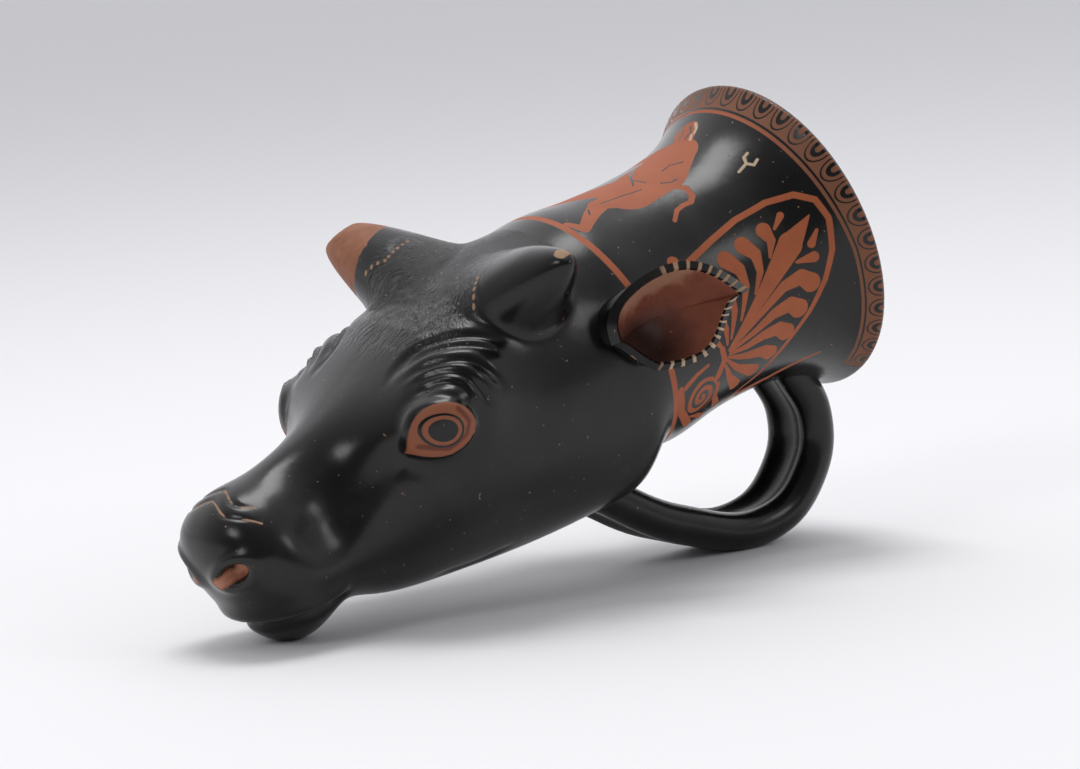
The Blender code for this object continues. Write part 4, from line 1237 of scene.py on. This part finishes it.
# %% The eye, the nostril and the dots
EYE_CLAY = (0.25, 0.080, 0.036)
LID_RED = (0.13, 0.030, 0.014)
RAW_CLAY_DARK = (0.20, 0.062, 0.028)  # where the horn is broken
RAW_CLAY_PALE = (0.36, 0.15, 0.075)
NOSTRIL_MIDDLE = (0.40, 0.17, 0.10)
NOSTRIL_EDGE = (0.24, 0.08, 0.04)
DOT_CLAY = (0.33, 0.20, 0.115)
NOSTRIL_PAINT = ((0.5, 5.6, 4.3), (6.3, 14.2, 7.6), 1.9, 1.7)  # its ends, and its half width at each
HORN_CHIP = (103.0, -46.2, 44.7)  # on the whole horn's tip
IRIS_WAYS = ((4.7, 0.0, -1.65), (1.7, 0.0, 4.0))  # the half axes of its ellipse
DARK_LID = ((63.5, 0.0, 21.9), (65.0, 0.0, 17.5), (63.2, 0.0, 14.8), (58.0, 0.0, 13.4), (52.6, 0.0, 16.5))
HORN_DOTS = (
    # first and last dot, and how many
    ((89.6, 26.0, 0.0), (93.4, 20.8, 0.0), 4),
    ((94.8, 20.7, 0.0), (102.0, 21.1, 0.0), 5),
    ((92.4, -21.6, 0.0), (87.0, -23.6, 0.0), 5),
)


def eye_paint(finish, mirrored):
    """How much clay shows round the black rings of the iris, and the dark red along the lids."""
    offset = finish.vector_maths("SUBTRACT", mirrored, EYE_CORNERS)
    along = finish.vector_number("DOT_PRODUCT", offset, EYE_FORWARD) / EYE_HALF_LENGTH
    height = finish.vector_number("DOT_PRODUCT", offset, EYE_UPWARD)
    above = finish.greater(height, 0.0) / EYE_ABOVE
    opening = along * along + above * above + finish.greater(-1.0 * height, 0.0) / EYE_BELOW
    clay = finish.step(opening, 1.04, 0.97)
    from_iris = finish.vector_maths("SUBTRACT", mirrored, EYE_PLACE)
    ways = (Vector(way) / Vector(way).length_squared for way in IRIS_WAYS)
    size = finish.hypot(*(finish.vector_number("DOT_PRODUCT", from_iris, way) for way in ways))
    ring = finish.step(abs(size - 0.94), 0.085, 0.05)
    grey = finish.greater(ring, finish.step(size, 0.68, 0.64))
    flat = finish.vector_maths("MULTIPLY", mirrored, (1.0, 0.0, 1.0))
    lid = finish.step(finish.drawing(flat, [(DARK_LID, 0.5, 0.5)]), 0.5, -0.2)
    return clay * (1.0 - grey), lid


def hair_bump(finish, places, upward, out):
    """Short wavy strokes of hair, combed from between the horns down the brow."""
    wave = finish.noise(places, 0.09, 2.0) - 0.5
    from_crown = finish.vector_maths("SUBTRACT", places, (112.0, 0.0, 0.0))
    ahead, aside, _ = finish.numbers_of(from_crown)
    turn = finish.maths("ARCTAN2", aside, -1.0 * ahead) + 0.30 * wave
    reach = finish.hypot(aside, ahead)
    strand = finish.vector_of(turn * 40.0, reach * 0.17, 0.0)
    hair = finish.noise(strand, 1.0, 3.0, 0.6)
    where = finish.step(upward, 22.0, 30.0) * finish.step(reach, 50.0, 38.0) * finish.step(out, 27.0, 20.0)
    return where, hair


def rounded(line):
    """A line's points, with more between them along a smooth curve."""
    knots = np.arange(len(line), dtype=float)
    return [tuple(point) for point in smooth_curve(knots, np.array(line), np.linspace(1.0, len(line) - 1.0, 9))]


def head_skin():
    """Gloss with the eyes, the nostrils, the dots and the broken horn."""
    finish = Finish("head_gloss")
    places = finish.place(TO_HEAD)
    along, sideways, upward = finish.numbers_of(places)
    out = abs(sideways)
    mirrored = finish.vector_of(along, out, upward)
    near = finish.step(out, 22.0, 24.0)
    clay, lid = eye_paint(finish, mirrored)
    clay = clay * near
    pit = finish.stroke(mirrored, *NOSTRIL_PAINT) + 1.2 * (finish.noise(places, 0.5, 2.0) - 0.5)
    nostril_clay = finish.step(pit, 0.3, -0.3)
    uneven = finish.noise(places, 0.30, 3.0) - 0.5
    root = Vector(HORN_ROOT)
    axis = Vector(BROKEN_HORN_TIP) - root
    across = (axis.normalized() - Vector((0.25, 0.0, 0.0))).normalized()
    height = finish.vector_number("DOT_PRODUCT", finish.vector_maths("SUBTRACT", places, root), across)
    broken = finish.step(height + 2.5 * uneven, 11.0, 11.6) * finish.step(sideways, 8.0, 12.0)
    broken = broken * finish.step(along, 76.0, 80.0)  # not as far forward as the eye
    flat = finish.vector_maths("MULTIPLY", places, (1.0, 1.0, 0.0))
    chip = finish.vector_number("DISTANCE", places, HORN_CHIP) + 3.0 * uneven
    dots = finish.greater(finish.step(chip, 2.0, 1.6), *(finish.dots(flat, *row, 0.5) for row in HORN_DOTS))
    dots = dots * finish.step(upward, 30.0, 32.0)
    lines = finish.drawing(mirrored, [(rounded(line), 0.28, 0.28) for line in NOSE_LINES])
    lines = finish.step(lines + 0.5 * uneven, 0.1, -0.1)
    where, hair = hair_bump(finish, places, upward, out)
    bare = finish.step(hair, 0.66, 0.72) * finish.step(finish.noise(places, 0.20, 2.0), 0.56, 0.64) * where
    paint = finish.greater(clay, nostril_clay, broken, dots, lines, bare * 0.8)
    raw_clay = finish.mix(uneven + 0.5, RAW_CLAY_DARK, RAW_CLAY_PALE)
    colour = finish.mix(broken, EYE_CLAY, raw_clay)
    colour = finish.mix(lid * clay, colour, LID_RED)
    pit_clay = finish.mix(finish.step(pit, -0.9, -0.1), NOSTRIL_MIDDLE, NOSTRIL_EDGE)
    colour = finish.mix(nostril_clay, colour, pit_clay)
    colour = finish.mix(finish.greater(dots, lines, bare), colour, DOT_CLAY)
    glossed(finish, places, colour, paint, bump=where * (hair - 0.5) * 0.9 + 0.3 * broken * uneven)
    return finish.material


head_gloss = head_skin()
print("head:", len(head_gloss.node_tree.nodes), "nodes")


# %% The inside and the ear's bowl
FRINGE_DASHES = 34.0  # all round an ear


def inside_slip():
    """A thin reddish black wash over the clay, streaked round by the wheel."""
    finish = Finish("inside_slip")
    places = finish.place(TO_CUP)
    along, sideways, upward = finish.numbers_of(places)
    streaks = finish.noise(finish.vector_of(along * 1.2, finish.hypot(sideways, upward) * 0.1, 0.0), 1.0, 3.0)
    clouds = finish.noise(places, 0.07, 4.0, 0.6)
    thin = finish.step(clouds + 0.4 * streaks, 0.72, 0.95)
    colour = finish.mix(thin, (0.016, 0.012, 0.011), (0.11, 0.042, 0.024))
    finish.surface(colour, 0.34 + 0.2 * clouds, 0.06 * streaks + 0.04 * clouds)
    return finish.material


def ear_places(finish):
    """The head's places, and an ear's own ones along and across it, as shares of its half sizes."""
    head = finish.place(TO_HEAD)
    along, sideways, upward = finish.numbers_of(head)
    ear = finish.place(TO_EAR, finish.vector_of(along, abs(sideways), upward))
    ear_along, ear_across, _ = finish.numbers_of(ear)
    return head, ear_along / (MM * EAR_LENGTH / 2.0), ear_across / (MM * EAR_WIDTH / 2.0)


def ear_clay():
    """Bare clay, smooth and brick red, with painted shade taking it to nearly black deep in the bowl, and chalky at its
    upper edge.
    """
    finish = Finish("ear_clay")
    head, along, across = ear_places(finish)
    clouds = finish.noise(head, 0.16, 4.0, 0.6)
    fine = finish.noise(head, 0.9, 3.0, 0.6)
    colour = finish.mix(clouds, (0.125, 0.026, 0.013), (0.27, 0.082, 0.040))
    # painted shade: the bowl's deep lower part towards its root goes nearly black, where shade falls in the recess
    deep_shade = finish.step(finish.hypot(along + 0.78, across - 0.50) + 0.3 * (clouds - 0.5), 1.15, 0.35)
    colour = finish.mix(deep_shade * 0.95, colour, (0.012, 0.005, 0.004))
    chalk = finish.step(-1.0 * across - 0.25 * along + 0.7 * (clouds - 0.5), 0.50, 0.85)
    colour = finish.mix(chalk * 0.75, colour, (0.36, 0.19, 0.12))
    colour = finish.mix(finish.step(fine, 0.66, 0.74) * 0.4, colour, (0.40, 0.24, 0.15))
    finish.surface(colour, 0.66 - 0.2 * deep_shade, 0.10 * clouds + 0.03 * fine)
    return finish.material


def ear_edge():
    """The ear's slipped edge, with a fringe of short cream dashes and worn places."""
    finish = Finish("ear_edge")
    head, along, across = ear_places(finish)
    turn = finish.maths("ARCTAN2", across, along) * (FRINGE_DASHES / (2.0 * math.pi))
    uneven = finish.noise(head, 0.35, 3.0) - 0.5
    dash = finish.step(finish.from_middle(turn) + 0.25 * uneven, 0.19, 0.12)
    dash = dash * finish.step(along + 0.25 * across, -0.45, -0.20)
    worn = finish.step(finish.noise(head, 0.14, 3.0), 0.60, 0.66) * finish.step(along + across, 0.3, -0.4)
    cream = finish.mix(finish.step(across, -0.2, 0.3), (0.30, 0.18, 0.10), (0.46, 0.34, 0.23))
    clay = finish.mix(uneven + 0.5, (0.22, 0.10, 0.05), (0.34, 0.20, 0.12))
    colour = finish.mix(dash, clay, cream)
    glossed(finish, head, colour, finish.greater(dash, worn))
    return finish.material


for slot, material in enumerate((head_gloss, cup_paint, inside_slip(), ear_clay(), ear_edge())):
    vessel.data.materials[slot] = material
print([material.name for material in vessel.data.materials])

# %% [markdown]
# ## The table, the light and the camera
# A vessel that shines is lit by large soft boxes: what looks like its colour is mostly their reflection. The camera
# stands low and far away with a long lens, which keeps the vessel's two ends in proportion.

# %% The table and the backdrop
PAPER_NEAR = (0.87, 0.87, 0.88)
# the far paper colour is painted shade: darker where the light falls off far behind the vessel
PAPER_FAR_SHADED = (0.81, 0.81, 0.83)
CAMERA_PLACE = (-0.5866, -0.8486, 0.2006)
CAMERA_FORWARD = (0.5676, 0.8111, -0.1412)
CAMERA_UP = (0.1413, 0.0729, 0.9873)


def pale_floor():
    """A wide pale sheet, with painted shade that makes it a little darker far behind the vessel."""
    bpy.ops.mesh.primitive_plane_add(size=14.0, location=(0.0, 0.0, 0.0))
    floor = bpy.context.object
    floor.name = "floor"
    finish = Finish("pale_paper")
    places = finish.node("TexCoord", {}, {}).outputs["Object"]
    far = finish.vector_number("DOT_PRODUCT", places, (CAMERA_FORWARD[0], CAMERA_FORWARD[1], 0.0))
    colour = finish.mix(finish.step(far, 0.0, 3.0), PAPER_NEAR, PAPER_FAR_SHADED)
    finish.feed(finish.shader.inputs["Base Color"], colour)
    finish.shader.inputs["Roughness"].default_value = 0.8
    finish.shader.inputs["Specular IOR Level"].default_value = 0.2
    floor.data.materials.append(finish.material)
    floor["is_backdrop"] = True
    return floor


floor = pale_floor()


# %% The soft boxes
def soft_box(name, place, target, size, power):
    """An area light that faces a target."""
    bpy.ops.object.light_add(type="AREA", location=place)
    light = bpy.context.object
    light.name = name
    light.rotation_euler = (Vector(target) - Vector(place)).to_track_quat("-Z", "Y").to_euler()
    light.data.shape = "RECTANGLE"
    light.data.size, light.data.size_y = size
    light.data.energy = power
    return light


soft_box("overhead", (0.10, 0.20, 1.30), (0.0, 0.0, 0.05), (0.62, 0.48), 6.6)
soft_box("camera_left", (-1.2, -0.30, 0.95), (0.0, 0.0, 0.05), (0.40, 0.40), 2.8)
soft_box("camera_right", (0.6, -1.1, 0.75), (0.0, 0.0, 0.05), (0.35, 0.40), 1.5)


def studio_walls():
    """A world that is pale behind the vessel and dark behind the camera, so that the black gloss stays black."""
    world = bpy.data.worlds.new("studio")
    bpy.context.scene.world = world
    world.use_nodes = True
    nodes, links = world.node_tree.nodes, world.node_tree.links
    ways = nodes.new("ShaderNodeTexCoord")
    away = nodes.new("ShaderNodeVectorMath")
    away.operation = "DOT_PRODUCT"
    away.inputs[1].default_value = (0.57, 0.81, 0.0)
    links.new(ways.outputs["Generated"], away.inputs[0])
    light = nodes.new("ShaderNodeMapRange")
    for name, value in (("From Min", -0.7), ("From Max", 0.6), ("To Min", 0.17), ("To Max", 1.12)):
        light.inputs[name].default_value = value
    links.new(away.outputs["Value"], light.inputs["Value"])
    nodes["Background"].inputs["Color"].default_value = (0.965, 0.965, 1.0, 1.0)
    links.new(light.outputs[0], nodes["Background"].inputs["Strength"])


studio_walls()

# %% The camera
LENS = 133.33  # mm, a long lens
SENSOR_WIDTH = 36.0
bpy.ops.object.camera_add()
camera = bpy.context.object
forward = Vector(CAMERA_FORWARD).normalized()
right = forward.cross(Vector(CAMERA_UP)).normalized()
turn = Matrix([right, right.cross(forward), -forward]).transposed()
camera.matrix_world = Matrix.Translation(CAMERA_PLACE) @ turn.to_4x4()
camera.data.lens = LENS
camera.data.sensor_width = SENSOR_WIDTH
bpy.context.scene.camera = camera
bpy.context.scene.view_settings.view_transform = "Standard"
print("camera", [round(x, 3) for x in camera.location])

# %% [markdown]
# ## Handing the vessel to the frame
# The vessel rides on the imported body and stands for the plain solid. The two boxes are written down so that they can
# be compared: what the eye sees must be as large as what stands on the table.

# %% The vessel takes the solid's place
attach(vessel, "root")
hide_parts("rhyton")
vessel_box = [list(corner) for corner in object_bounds()]
for name, a, b in zip(("lowest", "highest"), solid_box, vessel_box):
    print(name, "corner differs by, in mm:", [round(1000.0 * (y - x), 2) for x, y in zip(a, b)])
